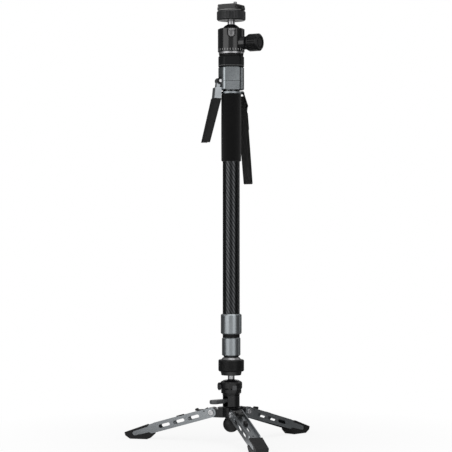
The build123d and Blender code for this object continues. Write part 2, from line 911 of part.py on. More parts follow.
def make_collars():
    """The two grey collars and their black bushes."""
    collar, bush = collar_and_bush(
        upper_collar_radius,
        upper_collar_low,
        upper_collar_high,
        upper_neck_radius,
        top_tube_radius,
        middle_tube_radius,
        top_tube_low,
        lower_collar_high + side_play,
    )
    keep("upper_collar", collar)
    keep("upper_bush", bush)
    collar, bush = collar_and_bush(
        lower_collar_radius,
        lower_collar_low,
        lower_collar_high,
        lower_neck_radius,
        middle_tube_radius,
        lower_tube_radius,
        middle_tube_low,
        socket_high + side_play,
    )
    keep("lower_collar", collar)
    keep("lower_bush", bush)


def clutch(bore, tube_end, outer_bore):
    """Brake at the top of an inner tube: a plug in that tube, and a head with pocketed shoes."""
    plug_radius = bore - running
    head_radius_here = outer_bore - seat_play
    head_low_here = tube_end
    head_high_here = head_low_here + clutch_head_height
    floor = head_low_here + clutch_floor
    body = turned(
        (clutch_bore_radius, tube_end - clutch_plug_length),
        (plug_radius, tube_end - clutch_plug_length),
        (plug_radius, head_low_here),
        (head_radius_here, head_low_here),
        (head_radius_here, head_high_here),
        (clutch_cavity_radius, head_high_here),
        (clutch_cavity_radius, floor),
        (clutch_bore_radius, floor),
    )
    shoe = tube(head_radius_here, clutch_cavity_radius, floor, floor + shoe_height)
    sector = pie(head_radius_here + overrun, shoe_angle)
    wedge = Pos(0, 0, floor) * extrude(sector, amount=shoe_height)
    shoes = []
    for index in range(shoe_count):
        body -= outward(index * 360 / shoe_count) * (wedge & shoe)
        play = degrees(seat_play / clutch_cavity_radius)
        lifted = Pos(0, 0, floor + seat_play) * Rot(0, 0, play)
        sector = pie(head_radius_here + overrun, shoe_angle - 2 * play)
        slim = lifted * extrude(sector, amount=shoe_height - 2 * seat_play)
        shoes.append((outward(index * 360 / shoe_count) * (slim & shoe)).solid())
    return body, Compound(children=shoes)


def pie(radius, angle):
    """A pie-shaped face between the X axis and an angle."""
    rim = ThreePointArc(
        (radius, 0),
        (radius * cos(radians(angle / 2)), radius * sin(radians(angle / 2))),
        (radius * cos(radians(angle)), radius * sin(radians(angle))),
    )
    return make_face(Wire([Line((0, 0), rim @ 0), rim, Line(rim @ 1, (0, 0))]))


def cam(low):
    """An oval cam that spreads the brake shoes."""
    return Pos(0, 0, low) * extrude(Ellipse(cam_long_radius, cam_short_radius), amount=cam_height)


def make_release():
    """Clutches, cams and the two hexagonal pieces that carry the lever's turn down the column."""
    middle_bore = middle_tube_radius - middle_tube_wall
    lower_bore = lower_tube_radius - lower_tube_wall
    body, shoes = clutch(middle_bore, middle_tube_high, top_tube_radius - top_tube_wall)
    keep("upper_clutch", body)
    keep("upper_shoes", shoes)
    body, shoes = clutch(lower_bore, lower_tube_high, middle_bore)
    keep("lower_clutch", body)
    keep("lower_shoes", shoes)
    rod = hexagon(rod_across_flats, rod_low, drum_low) + bar(drum_radius, drum_low, drum_high)
    keep("control_rod", rod)
    cam_low = middle_tube_high + clutch_floor + side_play
    sleeve = hexagon(sleeve_across_flats, sleeve_low, cam_low) + cam(cam_low)
    bore = hexagon(rod_across_flats + hex_play, sleeve_low - overrun, cam_low + cam_height + overrun)
    keep("control_tube", sleeve - bore)
    cam_low = lower_tube_high + clutch_floor + side_play
    bore = hexagon(sleeve_across_flats + hex_play, cam_low - overrun, cam_low + cam_height + overrun)
    keep("lower_cam", cam(cam_low) - bore)


def make_grip():
    """Foam grip, and the silver collar above it with the lug of the strap."""
    grip = tube(grip_radius, top_tube_radius + running, grip_low, grip_high)
    rims = grip.edges().filter_by(GeomType.CIRCLE).sort_by(SortBy.RADIUS)[-2:]
    keep("grip_sleeve", fillet(rims, grip_round))
    collar = tube(strap_collar_radius, top_tube_radius + running, strap_collar_low, strap_collar_high)
    middle = (strap_collar_low + strap_collar_high) / 2
    end = hull(
        spot(lug_reach - lug_height / 2, middle, lug_height / 2),
        spot(lug_hole_at, middle, lug_height),
        spot(top_tube_radius + lug_height, middle, (strap_collar_high - strap_collar_low) / 2),
    )
    lug = slab(end, lug_width) - crosspin(lug_hole_radius, 2 * lug_width, lug_hole_at, middle)
    lug -= bar(top_tube_radius + lug_height / 2, grip_low, head_low)
    lug &= tube(2 * lug_reach, 0, grip_high + side_play, head_low)
    keep("strap_collar", collar + outward(strap_azimuth) * lug)


def make_strap():
    """Black loop through the lug, and the flat wrist strap that hangs from it in two layers."""
    middle = (strap_collar_low + strap_collar_high) / 2
    place = outward(strap_azimuth) * Pos(lug_hole_at, 0, middle) * Rot(0, -strap_lean, 0)
    top_half = loop_top_inner / 2
    low_half = loop_low_inner / 2
    inner = outline(
        (-top_half, -loop_bar_radius),
        (top_half, -loop_bar_radius),
        (low_half, loop_bar_radius - loop_drop),
        (-low_half, loop_bar_radius - loop_drop),
    )
    frame = offset(inner, amount=loop_wire, kind=Kind.ARC) - inner
    frame = extrude(Plane.YZ * frame, amount=loop_half_thickness, both=True)
    keep("strap_loop", place * frame)

    half = strap_layer + strap_slit / 2
    bar_room = sqrt(loop_bar_radius**2 + loop_half_thickness**2) + side_play
    bar_low = loop_drop
    end = strap_length - half * strap_low_share
    centre_top = spot(0, -bar_low, bar_room + strap_layer)
    low_end = spot(0, -end, half * strap_low_share)
    band = hull(centre_top, spot(0, -bar_low - strap_width / 2, half)) + hull(
        spot(0, -bar_low - strap_width / 2, half), low_end
    )
    lap_top = -bar_low - strap_width / 2
    lap = outline(
        (0, lap_top),
        (half + strap_lap_thickness, lap_top - strap_layer),
        (half + strap_lap_thickness, -strap_lap_length),
        (0, -strap_lap_length),
    )
    slit = hull(spot(0, -bar_low - strap_width / 2, strap_slit / 2), spot(0, -end, strap_slit / 2))
    eye = hull(spot(0, -bar_low, bar_room), spot(0, -bar_low - strap_width / 2, strap_slit / 2))
    webbing = slab(band + lap - slit - eye, strap_width)
    keep("wrist_strap", place * webbing)


def front_flat(low, high):
    """The wedge that leaves a flat front on the column head and its cap."""
    box = block(head_flat, head_radius + overrun, 2 * head_radius, low - overrun, high + overrun)
    return outward(head_flat_azimuth) * box


def make_column_head():
    """Grey head of the column with its spigot, its cavity and the lever's slot."""
    spigot_radius_here = top_tube_radius - top_tube_wall - running
    head = bar(head_radius, head_low, head_high, head_bevel) - front_flat(head_low, head_high)
    flat_line = block(head_flat - head_line_depth, head_radius, 2 * head_radius, 0, head_line_width)
    head -= outward(head_flat_azimuth, head_line_height) * flat_line
    head += bar(spigot_radius_here, head_spigot_low, head_low)
    head -= bar(head_cavity_radius, head_cavity_low, head_high + overrun)
    head -= bar(rod_bore_radius, head_spigot_low - overrun, head_high)
    past = head_radius + overrun
    slot = block(lever_slot_inner, past, lever_slot_width, head_low - overrun, lever_slot_high)
    window_low = lever_pin_height - finger_window_below
    window_high = lever_pin_height + finger_window_above
    window = block(0, head_radius, finger_window_width, window_low, window_high)
    keep("column_head", head - outward(lever_azimuth) * (slot + window))

    cap = bar(head_radius, head_high, cap_high, cap_bevel) - front_flat(head_high, cap_high)
    flat_line = block(head_flat - head_line_depth, head_radius, 2 * head_radius, 0, head_line_width)
    cap -= outward(head_flat_azimuth, cap_line_height) * flat_line
    cap -= bar(stud_radius + running, head_high - overrun, cap_high + overrun)
    keep("top_cap", cap)

    stud = bar(stud_radius, head_high, stud_high, head_line_depth)
    stud += bar(stud_flange_radius, head_high - stud_flange_thickness, head_high)
    keep("head_stud", stud)


def make_lever():
    """Squeeze lever: black fork on the head, pin, silver arm with its finger, and the cover."""
    place = outward(lever_azimuth)
    pin_spot = (lever_pin_at, lever_pin_height)
    back = lever_slot_inner + seat_play
    top = lever_slot_high - seat_play
    cheek = hull(spot(*pin_spot, bracket_nose_radius))
    cheek += outline(
        (back, bracket_low),
        (lever_pin_at, bracket_low),
        (lever_pin_at, lever_pin_height + bracket_nose_radius),
        (lever_pin_at - bracket_nose_radius, top),
        (back, top),
    )
    bracket = slab(cheek, bracket_width)
    gap_start = back + bracket_back
    past = lever_pin_at + 2 * bracket_nose_radius
    bracket -= block(gap_start, past, bracket_gap, bracket_low - overrun, top)
    window_low = lever_pin_height - finger_window_below
    window_high = lever_pin_height + finger_window_above
    bracket -= block(0, gap_start + overrun, finger_window_width, window_low, window_high)
    bracket -= crosspin(lever_pin_radius, 2 * bracket_width, *pin_spot)
    pin = crosspin(lever_pin_radius, bracket_width, *pin_spot)
    for sign in (-1, 1):
        head = crosspin(lever_pin_head_radius, lever_pin_head, *pin_spot)
        head = Pos(0, sign * (bracket_width - lever_pin_head) / 2, 0) * head
        bracket -= head
        pin += head
    keep("lever_bracket", place * bracket)
    keep("lever_pin", place * pin)

    eye = spot(*pin_spot, eye_radius)
    shank = hull(eye, spot(arm_outer_top - eye_radius, arm_top, eye_radius / 2))
    arm = slab(eye + shank, eye_width)
    low = lever_pin_height - finger_height / 2
    arm += block(finger_inner, lever_pin_at, finger_width, low, low + finger_height)
    root = outline(
        (arm_inner_top, arm_top),
        (arm_outer_top, arm_top),
        (arm_outer_low, arm_low),
        (arm_inner_low, arm_low),
    )
    root = fillet(root.vertices().sort_by(Axis.Y)[-2:], lever_wall / 2)
    hollow = outline(
        (0, arm_top - lever_wall),
        (arm_outer_top - lever_wall, arm_top - lever_wall),
        (arm_outer_low - lever_wall, arm_low - overrun),
        (0, arm_low - overrun),
    )
    channel = slab(root, 2 * lever_half_width) - slab(hollow, 2 * (lever_half_width - lever_wall))
    channel -= slab(spot(*pin_spot, bracket_nose_radius + side_play), 2 * lever_half_width)
    arm += channel
    run = (cover_outer_low - cover_outer_top) / (cover_high - cover_low)
    tang_in = arm_outer_low - lever_wall
    tang_shift = run * (arm_low - tang_low)
    tang = outline(
        (tang_in, arm_low + lever_wall),
        (tang_in + tang_thickness, arm_low + lever_wall),
        (tang_in + tang_thickness + tang_shift, tang_low),
        (tang_in + tang_shift, tang_low),
    )
    arm += slab(tang, 2 * tang_half_width)
    arm -= crosspin(lever_pin_radius + running, 2 * bracket_width, *pin_spot)
    keep("lever_arm", place * arm)

    skin = outline(
        (cover_inner_top, cover_high),
        (cover_outer_top, cover_high),
        (cover_outer_low, cover_low),
        (cover_inner_low, cover_low),
    )
    cover = slab(skin, 2 * cover_half_width)
    long_edges = cover.edges().filter_by(Axis.Z, reverse=True).filter_by(Axis.Y, reverse=True)
    outer_edges = [edge for edge in long_edges if edge.length > cover_high - cover_low]
    outer_edges = ShapeList(outer_edges).sort_by(Axis.X)[-2:]
    cover = fillet(outer_edges, cover_round)
    trough = outline(
        (0, cover_high + overrun),
        (cover_outer_top - cover_web, cover_high + overrun),
        (cover_outer_low - cover_web, cover_low - overrun),
        (0, cover_low - overrun),
    )
    cover -= slab(trough, 2 * (cover_half_width - cover_wall))
    pocket = offset(tang, amount=seat_play, kind=Kind.INTERSECTION)
    cover -= slab(pocket, 2 * (tang_half_width + seat_play))
    keep("lever_cover", place * cover)


def make_pan():
    """Silver index ring with its spigot, and the pan knob at the back."""
    base = turned(
        (stud_radius + running, pan_groove_low),
        (pan_groove_radius, pan_groove_low),
        (pan_groove_radius, pan_disc_low),
        (pan_disc_radius, pan_disc_low),
        (pan_disc_radius, pan_disc_high),
        (pan_boss_radius, pan_disc_high),
        (pan_boss_radius, pan_boss_high),
        (stud_radius + running, pan_boss_high),
    )
    keep("pan_base", base)
    length = pan_knob_end - pan_knob_start
    grip = ribbed(pan_knob_radius, knob_flute_radius, knob_flute_pitch, 0, length)
    knob = Pos(pan_knob_start, 0, 0) * Rot(0, 90, 0) * grip
    knob += spoke(pan_screw_radius, pan_boss_radius + pan_screw_back, pan_knob_start + length / 2)
    keep("pan_knob", outward(pan_knob_azimuth, pan_knob_height) * knob)


def make_head_housing():
    """Housing of the ball, with its boss, its drop notch and the seat below the ball."""
    shell = bar(housing_radius, head_housing_low, head_housing_top)
    top = shell.edges().filter_by(GeomType.CIRCLE).sort_by(Axis.Z)[-1]
    shell = chamfer(top, head_housing_bevel / 2, head_housing_bevel)
    boss = outward(main_azimuth, main_height) * spoke(boss_radius, 0, boss_end)
    shell += boss
    shell -= tube(
        housing_radius + overrun,
        housing_radius - head_line_depth,
        head_housing_low + head_bevel,
        head_housing_low + head_bevel + head_line_width,
    )
    shell -= bar(pan_boss_radius + running, head_housing_low - overrun, head_floor)
    shell -= bar(head_bore_radius, head_floor, ball_height)
    cavity = ball_radius + side_play
    shell -= ball_at(cavity, ball_height)
    rise = head_housing_top - ball_height
    lip = sqrt(cavity**2 - rise**2)
    shell -= bar(lip, ball_height, head_housing_top + overrun)
    past = head_housing_top + notch_half_width
    notch = hull(spot(0, ball_height, notch_half_width), spot(0, past, notch_half_width))
    cut = extrude(Plane.YZ * notch, amount=housing_radius + overrun)
    shell -= outward(-90) * cut
    shell -= outward(main_azimuth, main_height) * spoke(screw_radius + running, 0, boss_end + overrun)
    shell -= outward(pan_knob_azimuth, pan_knob_height) * spoke(
        pan_screw_radius + running, 0, housing_radius + overrun
    )
    keep("ball_housing", shell)

    cup = turned(
        (cup_inner_radius, head_floor + seat_play),
        (cup_flange_radius, head_floor + seat_play),
        (cup_flange_radius, cup_flange_high),
        (cup_tower_radius, cup_flange_high),
        (cup_tower_radius, cup_tower_high),
        (cup_inner_radius, cup_tower_high),
    )
    keep("ball_cup", cup - ball_at(ball_radius + running, ball_height))


def make_main_knob():
    """Main lock: its screw, and the round knob with a coned neck, fluted rim and inner button."""
    place = outward(main_azimuth, main_height)
    keep("lock_screw", place * spoke(screw_radius, screw_tip, screw_end))
    profile = [
        (0, knob_start),
        (boss_radius, knob_start),
        (knob_radius, knob_cone_end),
        (knob_radius, knob_end - knob_bevel),
        (knob_radius - knob_bevel, knob_end),
        (knob_dish_radius, knob_end),
        (knob_dish_radius, knob_end - knob_dish_depth),
        (knob_button_radius, knob_end - knob_dish_depth),
        (knob_button_radius, knob_end - knob_dish_depth + knob_button_rise),
        (0, knob_end - knob_dish_depth + knob_button_rise),
    ]
    knob = turned(*profile)
    flute_low = knob_cone_end + knob_bevel
    flute_high = knob_end - 2 * knob_bevel
    ribs = ribbed(knob_radius, knob_flute_radius, knob_flute_pitch, flute_low, flute_high)
    skin = knob_radius - 2 * knob_flute_radius
    knob -= tube(knob_radius + overrun, skin, flute_low, flute_high) - ribs
    knob -= bar(screw_radius + running, knob_start - overrun, screw_end)
    keep("lock_knob", place * Rot(0, 90, 0) * knob)


def make_ball():
    """Ball with its top flat and bore, and the silver stem that carries the clamp."""
    flat = ball_height + sqrt(ball_radius**2 - stem_radius**2)
    ball = ball_at(ball_radius, ball_height)
    ball -= bar(ball_radius, flat, flat + ball_radius)
    ball -= bar(stem_tail_radius + running, stem_tail_low - running, flat + overrun)
    keep("ball", ball)
    stem = turned(
        (0, stem_tail_low),
        (stem_tail_radius, stem_tail_low),
        (stem_tail_radius, flat),
        (stem_radius, flat),
        (stem_radius, stem_shoulder),
        (stem_spigot_radius, stem_shoulder),
        (stem_spigot_radius, stem_spigot_high + seat_play),
        (stem_flange_radius, stem_spigot_high + seat_play),
        (stem_flange_radius, stem_flange_high),
        (0, stem_flange_high),
    )
    socket = extrude(RegularPolygon(bolt_socket_radius, 6), amount=-bolt_socket_depth)
    keep("ball_stem", stem - Pos(0, 0, stem_flange_high) * socket)


def jaw_profile(fit):
    """Outline, across the clamp, of a jaw that hooks over the plate's flank."""
    edge = plate_side / 2 + fit
    tip = edge - plate_flank
    return outline(
        (edge, clamp_top),
        (edge, plate_flange_high + fit),
        (tip, plate_flange_high + plate_flank + fit),
        (tip, jaw_top),
        (jaw_outer_radius, jaw_top),
        (jaw_outer_radius, clamp_top),
    )


def make_clamp():
    """Round clamp: body with the fixed jaw, sliding jaw, and the ribbed ring that drives it."""
    place = outward(clamp_azimuth)
    body = turned(
        (stem_spigot_radius + running, stem_shoulder + seat_play),
        (clamp_hub_radius, stem_shoulder + seat_play),
        (clamp_hub_radius, clamp_ring_low + clamp_lip + side_play),
        (clamp_body_radius, clamp_ring_low + clamp_lip + side_play),
        (clamp_body_radius, clamp_rim_low),
        (clamp_rim_radius, clamp_rim_low),
        (clamp_rim_radius, clamp_top),
        (clamp_counterbore, clamp_top),
        (clamp_counterbore, stem_spigot_high),
        (stem_spigot_radius + running, stem_spigot_high),
    )
    round_limit = bar(jaw_outer_radius, clamp_top, jaw_top)
    jaw = slab(jaw_profile(seat_play), jaw_length) & round_limit
    body += Rot(0, 0, 180) * jaw
    slot_width = jaw_tongue_width + 2 * seat_play
    body -= block(jaw_slot_inner, clamp_rim_radius + overrun, slot_width, jaw_slot_low, clamp_top)
    keep("clamp_body", place * body)

    sliding = Pos(0, 0, seat_play) * jaw & bar(2 * jaw_outer_radius, clamp_top + seat_play, jaw_top)
    sliding += block(
        jaw_tongue_inner, jaw_tongue_outer, jaw_tongue_width, jaw_slot_low + side_play, plate_flange_high
    ) & bar(2 * jaw_outer_radius, jaw_slot_low, clamp_top + 2 * seat_play)
    keep("clamp_jaw", place * sliding)

    ring = turned(
        (clamp_lip_radius, clamp_ring_low),
        (clamp_ring_radius - clamp_ring_bevel, clamp_ring_low),
        (clamp_ring_radius, clamp_ring_low + clamp_ring_bevel),
        (clamp_ring_radius, clamp_ring_high - clamp_ring_bevel),
        (clamp_ring_radius - clamp_ring_bevel, clamp_ring_high),
        (clamp_ring_inner, clamp_ring_high),
        (clamp_ring_inner, clamp_ring_low + clamp_lip),
        (clamp_lip_radius, clamp_ring_low + clamp_lip),
    )
    band_low = clamp_ring_low + clamp_rib_margin
    band_high = clamp_ring_high - clamp_rib_margin
    ribs = ribbed(clamp_ring_radius, clamp_rib_radius, clamp_rib_pitch, band_low, band_high)
    skin = clamp_ring_radius - 2 * clamp_rib_radius
    keep("clamp_ring", ring - (tube(clamp_ring_radius + overrun, skin, band_low, band_high) - ribs))


def make_plate():
    """Dovetail plate with a slot for the camera screw, its two pads, and the screw."""
    place = outward(clamp_azimuth)
    half = plate_side / 2
    waist = half - plate_flank
    profile = outline(
        (-half, plate_low),
        (half, plate_low),
        (half, plate_flange_high),
        (waist, plate_flange_high + plate_flank),
        (waist, plate_waist_high),
        (half, plate_waist_high),
        (half, plate_high - plate_bevel),
        (half - plate_bevel, plate_high),
        (plate_bevel - half, plate_high),
        (-half, plate_high - plate_bevel),
        (-half, plate_waist_high),
        (-waist, plate_waist_high),
        (-waist, plate_flange_high + plate_flank),
        (-half, plate_flange_high),
    )
    plate = slab(profile, plate_side)
    slot = SlotOverall(plate_slot_length, plate_slot_width)
    plate -= Pos(0, 0, plate_low) * extrude(slot, amount=plate_high)
    recess = RectangleRounded(plate_recess_length, plate_recess_width, plate_bevel)
    plate -= Pos(0, 0, plate_low) * extrude(recess, amount=plate_recess_depth)
    pads = []
    for sign in (-1, 1):
        strip = RectangleRounded(pad_length, pad_width, plate_bevel)
        seat = Pos(0, sign * pad_offset, plate_high - pad_sink)
        plate -= seat * extrude(strip, amount=plate_high)
        pads.append((place * seat * extrude(strip, amount=pad_sink + pad_rise)).solid())
    keep("camera_plate", place * plate)
    keep("plate_pads", Compound(children=pads))

    screw = turned(
        (0, camera_head_low),
        (camera_head_radius, camera_head_low),
        (camera_head_radius, camera_head_high),
        (camera_neck_radius, camera_head_high),
        (camera_neck_radius, plate_high + seat_play),
        (camera_thread_radius, plate_high + seat_play),
        (camera_thread_radius, camera_screw_high - camera_screw_bevel),
        (camera_thread_radius - camera_screw_bevel, camera_screw_high),
        (0, camera_screw_high),
    )
    slot_top = camera_head_low + coin_slot_depth
    screw -= block(-camera_head_radius, camera_head_radius, coin_slot_width, camera_head_low, slot_top)
    keep("camera_screw", place * Pos(screw_at, 0, 0) * screw)


def make_all():
    """Model every piece and write each one to its own file."""
    make_legs()
    make_hub()
    make_neck()
    make_pedal()
    make_base_joint()
    make_column_foot()
    make_tubes()
    make_collars()
    make_release()
    make_grip()
    make_strap()
    make_column_head()
    make_lever()
    make_pan()
    make_head_housing()
    make_main_knob()
    make_ball()
    make_clamp()
    make_plate()
    os.makedirs("parts", exist_ok=True)
    for name, shape in nodes.items():
        export_step(shape, f"parts/{name}.step")


make_all()
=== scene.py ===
import json
from math import cos, pi, radians, sin

import bmesh
import bpy
from bpy.props import FloatProperty, FloatVectorProperty, PointerProperty
from mathutils import Matrix, Vector

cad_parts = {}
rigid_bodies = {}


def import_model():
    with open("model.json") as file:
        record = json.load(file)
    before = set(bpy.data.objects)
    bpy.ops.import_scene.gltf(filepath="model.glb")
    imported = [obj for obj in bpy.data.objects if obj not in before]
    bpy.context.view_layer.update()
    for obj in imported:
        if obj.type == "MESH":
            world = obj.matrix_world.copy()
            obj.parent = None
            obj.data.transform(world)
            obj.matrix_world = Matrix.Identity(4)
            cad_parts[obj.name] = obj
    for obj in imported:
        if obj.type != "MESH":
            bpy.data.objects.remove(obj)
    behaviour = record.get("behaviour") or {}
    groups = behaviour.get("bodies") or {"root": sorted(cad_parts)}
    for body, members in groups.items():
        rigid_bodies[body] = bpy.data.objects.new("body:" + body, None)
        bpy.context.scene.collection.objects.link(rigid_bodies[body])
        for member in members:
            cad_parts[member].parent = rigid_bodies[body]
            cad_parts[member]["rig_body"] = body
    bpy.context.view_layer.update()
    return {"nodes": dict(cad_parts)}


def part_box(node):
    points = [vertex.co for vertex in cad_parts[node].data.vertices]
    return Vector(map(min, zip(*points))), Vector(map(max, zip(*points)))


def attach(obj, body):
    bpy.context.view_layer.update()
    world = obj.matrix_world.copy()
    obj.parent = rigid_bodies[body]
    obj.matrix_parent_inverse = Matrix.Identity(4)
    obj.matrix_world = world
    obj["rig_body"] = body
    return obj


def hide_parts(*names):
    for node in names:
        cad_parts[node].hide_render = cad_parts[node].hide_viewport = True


bl_info = {
    "name": "Camera monopod looks",
    "version": (1, 0, 0),
    "blender": (4, 5, 0),
    "location": "3D View > Sidebar > Monopod",
    "description": "Finishes, foam grip, wrist strap and stage for the camera monopod",
    "category": "Object",
}

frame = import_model()

CAD_SNAP = 1e-6  # points closer than this are one, in metres
BUMP_STRENGTH = 0.6
COAT_ROUGHNESS = 0.12
TWILL_ACROSS = 0.866  # share of a twill diagonal's lean that runs round the tube
TWILL_ALONG = 0.5  # and the share that runs along it
TICK_SHARE = 0.22  # painted share of the pitch of the degree marks
BAND_EDGE = 0.0002  # soft edge of a height band
CREST_DEPTH = 0.0006  # depth below a crest at which its painted highlight has faded
CREST_HIGHLIGHT = 0.55  # share of the lighter colour on a crest, as a painted highlight
CAMERA_CARD = -0.98  # direction (share of depth) at which metal sees the middle of the camera's card
BEHIND = (0.955, 0.995)  # directions between which the room turns white behind the object


# Settings

def colour(name, description, default):
    return FloatVectorProperty(name=name, description=description, default=default, size=3, min=0.0, max=1.0,
                               subtype="COLOR")


def length(name, description, default):
    return FloatProperty(name=name, description=description, default=default, min=0.0, unit="LENGTH",
                         precision=5)


def share(name, description, default):
    return FloatProperty(name=name, description=description, default=default, min=0.0, max=1.0,
                         subtype="FACTOR")


def power(name, description, default):
    return FloatProperty(name=name, description=description, default=default, unit="POWER")


class MonopodColours(bpy.types.PropertyGroup):
    black_anodised: colour("Black anodised", "Body colour of the head, the rings and the base",
                           (0.006, 0.0062, 0.0068))
    knob_black: colour("Knob black", "Deeper black of the knobs and their flutes", (0.003, 0.003, 0.0033))
    # Lighter black of the pedal and the slider; on the clamp ring's crests the same colour is a painted
    # highlight
    pale_black_and_crest_highlight: colour("Worn black", "Pedal and slider, lighter than the other blacks, and a painted highlight on the clamp ring's crests", (0.06, 0.062, 0.065))
    ball_grey: colour("Ball grey", "Hard-anodised ball of the head", (0.28, 0.28, 0.285))
    satin_black: colour("Satin black", "Paint of the band above the grey head of the column",
                        (0.008, 0.0085, 0.009))
    collar_grey: colour("Collar grey", "Titanium grey of the collars and the column's head",
                        (0.32, 0.345, 0.36))
    leg_grey: colour("Leg grey", "Anodised grey of the three legs", (0.34, 0.36, 0.375))
    bright: colour("Bright aluminium", "Turned, uncoated aluminium", (0.48, 0.48, 0.49))
    bolt_silver: colour("Bolt silver", "Domed heads of the leg bolts", (0.6, 0.6, 0.61))
    steel: colour("Steel", "Screws and pins", (0.5, 0.5, 0.51))
    # Carbon twill: the weave is the tube's own pattern; its bright and dark tows are painted sheen, lit and
    # shaded tones of one carbon
    carbon_dark: colour("Carbon dark", "Carbon tows that face away", (0.004, 0.0042, 0.0044))
    carbon_light: colour("Carbon light", "Carbon tows that catch the light", (0.085, 0.088, 0.092))
    foam: colour("Foam", "Closed-cell foam of the grip", (0.0018, 0.0018, 0.0019))
    webbing: colour("Webbing", "Woven strap", (0.003, 0.003, 0.0031))
    rubber: colour("Rubber", "Boots, bumpers, pads and ball foot", (0.007, 0.007, 0.0073))
    plastic: colour("Black plastic", "Lever cover, bushes and leg tabs", (0.0035, 0.0035, 0.0037))
    tick: colour("Scale marks", "Degree marks filled with pale paint", (0.3, 0.3, 0.3))


class MonopodSizes(bpy.types.PropertyGroup):
    tow_width: length("Tow width", "Width of one diagonal of the carbon twill", 0.0048)
    foam_cell: length("Foam cell", "Size of a pore of the foam", 0.0007)
    foam_crown: length("Foam crown", "How far the grip swells in its middle", 0.00025)
    foam_round: length("Foam edge", "Radius of the grip's rolled ends", 0.0022)
    rib_pitch: length("Rib pitch", "Spacing of the webbing's ribs", 0.0012)
    strap_width: length("Strap width", "Width of the webbing", 0.0225)
    strap_thickness: length("Strap thickness", "Thickness of one layer of webbing", 0.0018)
    strap_lean: FloatProperty(name="Strap lean", description="How far the strap stands off the grip",
                              default=radians(5.8), unit="ROTATION")
    edge_round: length("Edge round", "Radius that the moulded rubber has on its edges", 0.0009)
    thread_pitch: length("Thread pitch", "Pitch of the camera screw", 0.00127)


class MonopodLights(bpy.types.PropertyGroup):
    key: power("Key", "Power of the left softbox", 23.0)
    fill: power("Fill", "Power of the right softbox", 12.0)
    rim: power("Rim", "Power of the narrow box behind on the right", 2.5)
    top: power("Top", "Power of the overhead softbox", 14.0)
    room: share("Room", "Strength of the room's own light on the object", 0.35)
    mirror: share("Mirror", "Brightness that metal sees between the softboxes", 0.11)
    card: share("Card", "Brightness of the card that metal sees round the camera", 0.36)
    ceiling: share("Ceiling", "Brightness that metal sees overhead", 0.45)
    shadow: share("Shadow", "How much of the floor's own shading shows in front of the camera", 0.14)


# Shader helpers

def link(tree, start, end):
    tree.links.new(start, end)


def feed(tree, socket, value):
    """Set a socket to a number, or join it to the socket that is passed."""
    if isinstance(value, bpy.types.NodeSocket):
        link(tree, value, socket)
    else:
        socket.default_value = value


def calc(tree, operation, *values):
    node = tree.nodes.new("ShaderNodeMath")
    node.operation = operation
    for socket, value in zip(node.inputs, values):
        feed(tree, socket, value)
    return node.outputs[0]


def ramp(tree, value, low, high, to_low=0.0, to_high=1.0):
    node = tree.nodes.new("ShaderNodeMapRange")
    for index, item in enumerate((value, low, high, to_low, to_high)):
        feed(tree, node.inputs[index], item)
    return node.outputs[0]


def noise(tree, vector, scale, detail=3.0, rough=0.5):
    node = tree.nodes.new("ShaderNodeTexNoise")
    link(tree, vector, node.inputs["Vector"])
    feed(tree, node.inputs["Scale"], scale)
    node.inputs["Detail"].default_value = detail
    node.inputs["Roughness"].default_value = rough
    return node.outputs["Fac"]


def split(tree, vector):
    node = tree.nodes.new("ShaderNodeSeparateXYZ")
    link(tree, vector, node.inputs[0])
    return node.outputs


def axis_reach(tree, x, y):
    """Distance from the upright axis of the frame."""
    return calc(tree, "SQRT", calc(tree, "ADD", calc(tree, "MULTIPLY", x, x), calc(tree, "MULTIPLY", y, y)))


def new_group(name, inputs):
    """An effect's node group: a vector and named numbers in; tone, gloss and height out."""
    tree = bpy.data.node_groups.new(name, "ShaderNodeTree")
    face = tree.interface
    face.new_socket("Vector", in_out="INPUT", socket_type="NodeSocketVector")
    for label, default in inputs.items():
        face.new_socket(label, in_out="INPUT", socket_type="NodeSocketFloat").default_value = default
    for label in ("Tone", "Gloss", "Height"):
        face.new_socket(label, in_out="OUTPUT", socket_type="NodeSocketFloat")
    given = tree.nodes.new("NodeGroupInput").outputs
    out = tree.nodes.new("NodeGroupOutput").inputs
    return tree, given, out


def send_mask(tree, mask, out):
    """A mask effect gives the same value as its tone, gloss and height."""
    for label in ("Tone", "Gloss", "Height"):
        link(tree, mask, out[label])


def blasted_skin():
    """Bead-blasted metal or moulded skin: fine grain, and broad, faint handling marks."""
    tree, given, out = new_group("Blasted skin", {"Grain": 900.0, "Marks": 22.0})
    grain = noise(tree, given["Vector"], given["Grain"], 2.0)
    marks = noise(tree, given["Vector"], given["Marks"], 4.0, 0.6)
    smear = noise(tree, given["Vector"], calc(tree, "MULTIPLY", given["Marks"], 3.7), 3.0)
    mottle = calc(tree, "ADD", marks, calc(tree, "MULTIPLY", grain, 0.5))
    link(tree, ramp(tree, mottle, 0.45, 1.1), out["Tone"])
    link(tree, ramp(tree, smear, 0.3, 0.7), out["Gloss"])
    link(tree, grain, out["Height"])
    return tree


def turned_skin():
    """Metal off a lathe: fine rings round the column's axis under a faint smear."""
    tree, given, out = new_group("Turned skin", {"Rings": 2600.0, "Marks": 18.0})
    x, y, z = split(tree, given["Vector"])
    ring = tree.nodes.new("ShaderNodeTexNoise")
    ring.noise_dimensions = "1D"
    link(tree, calc(tree, "ADD", z, axis_reach(tree, x, y)), ring.inputs["W"])
    link(tree, given["Rings"], ring.inputs["Scale"])
    ring.inputs["Detail"].default_value = 2.0
    marks = noise(tree, given["Vector"], given["Marks"], 4.0, 0.6)
    link(tree, ramp(tree, calc(tree, "ADD", ring.outputs["Fac"], marks), 0.6, 1.4), out["Tone"])
    link(tree, ramp(tree, marks, 0.3, 0.7), out["Gloss"])
    link(tree, ring.outputs["Fac"], out["Height"])
    return tree


def wound_angle(tree, vector):
    """Angle round the column's axis, and the height, of a point of the object."""
    x, y, z = split(tree, vector)
    return calc(tree, "ARCTAN2", y, x), z


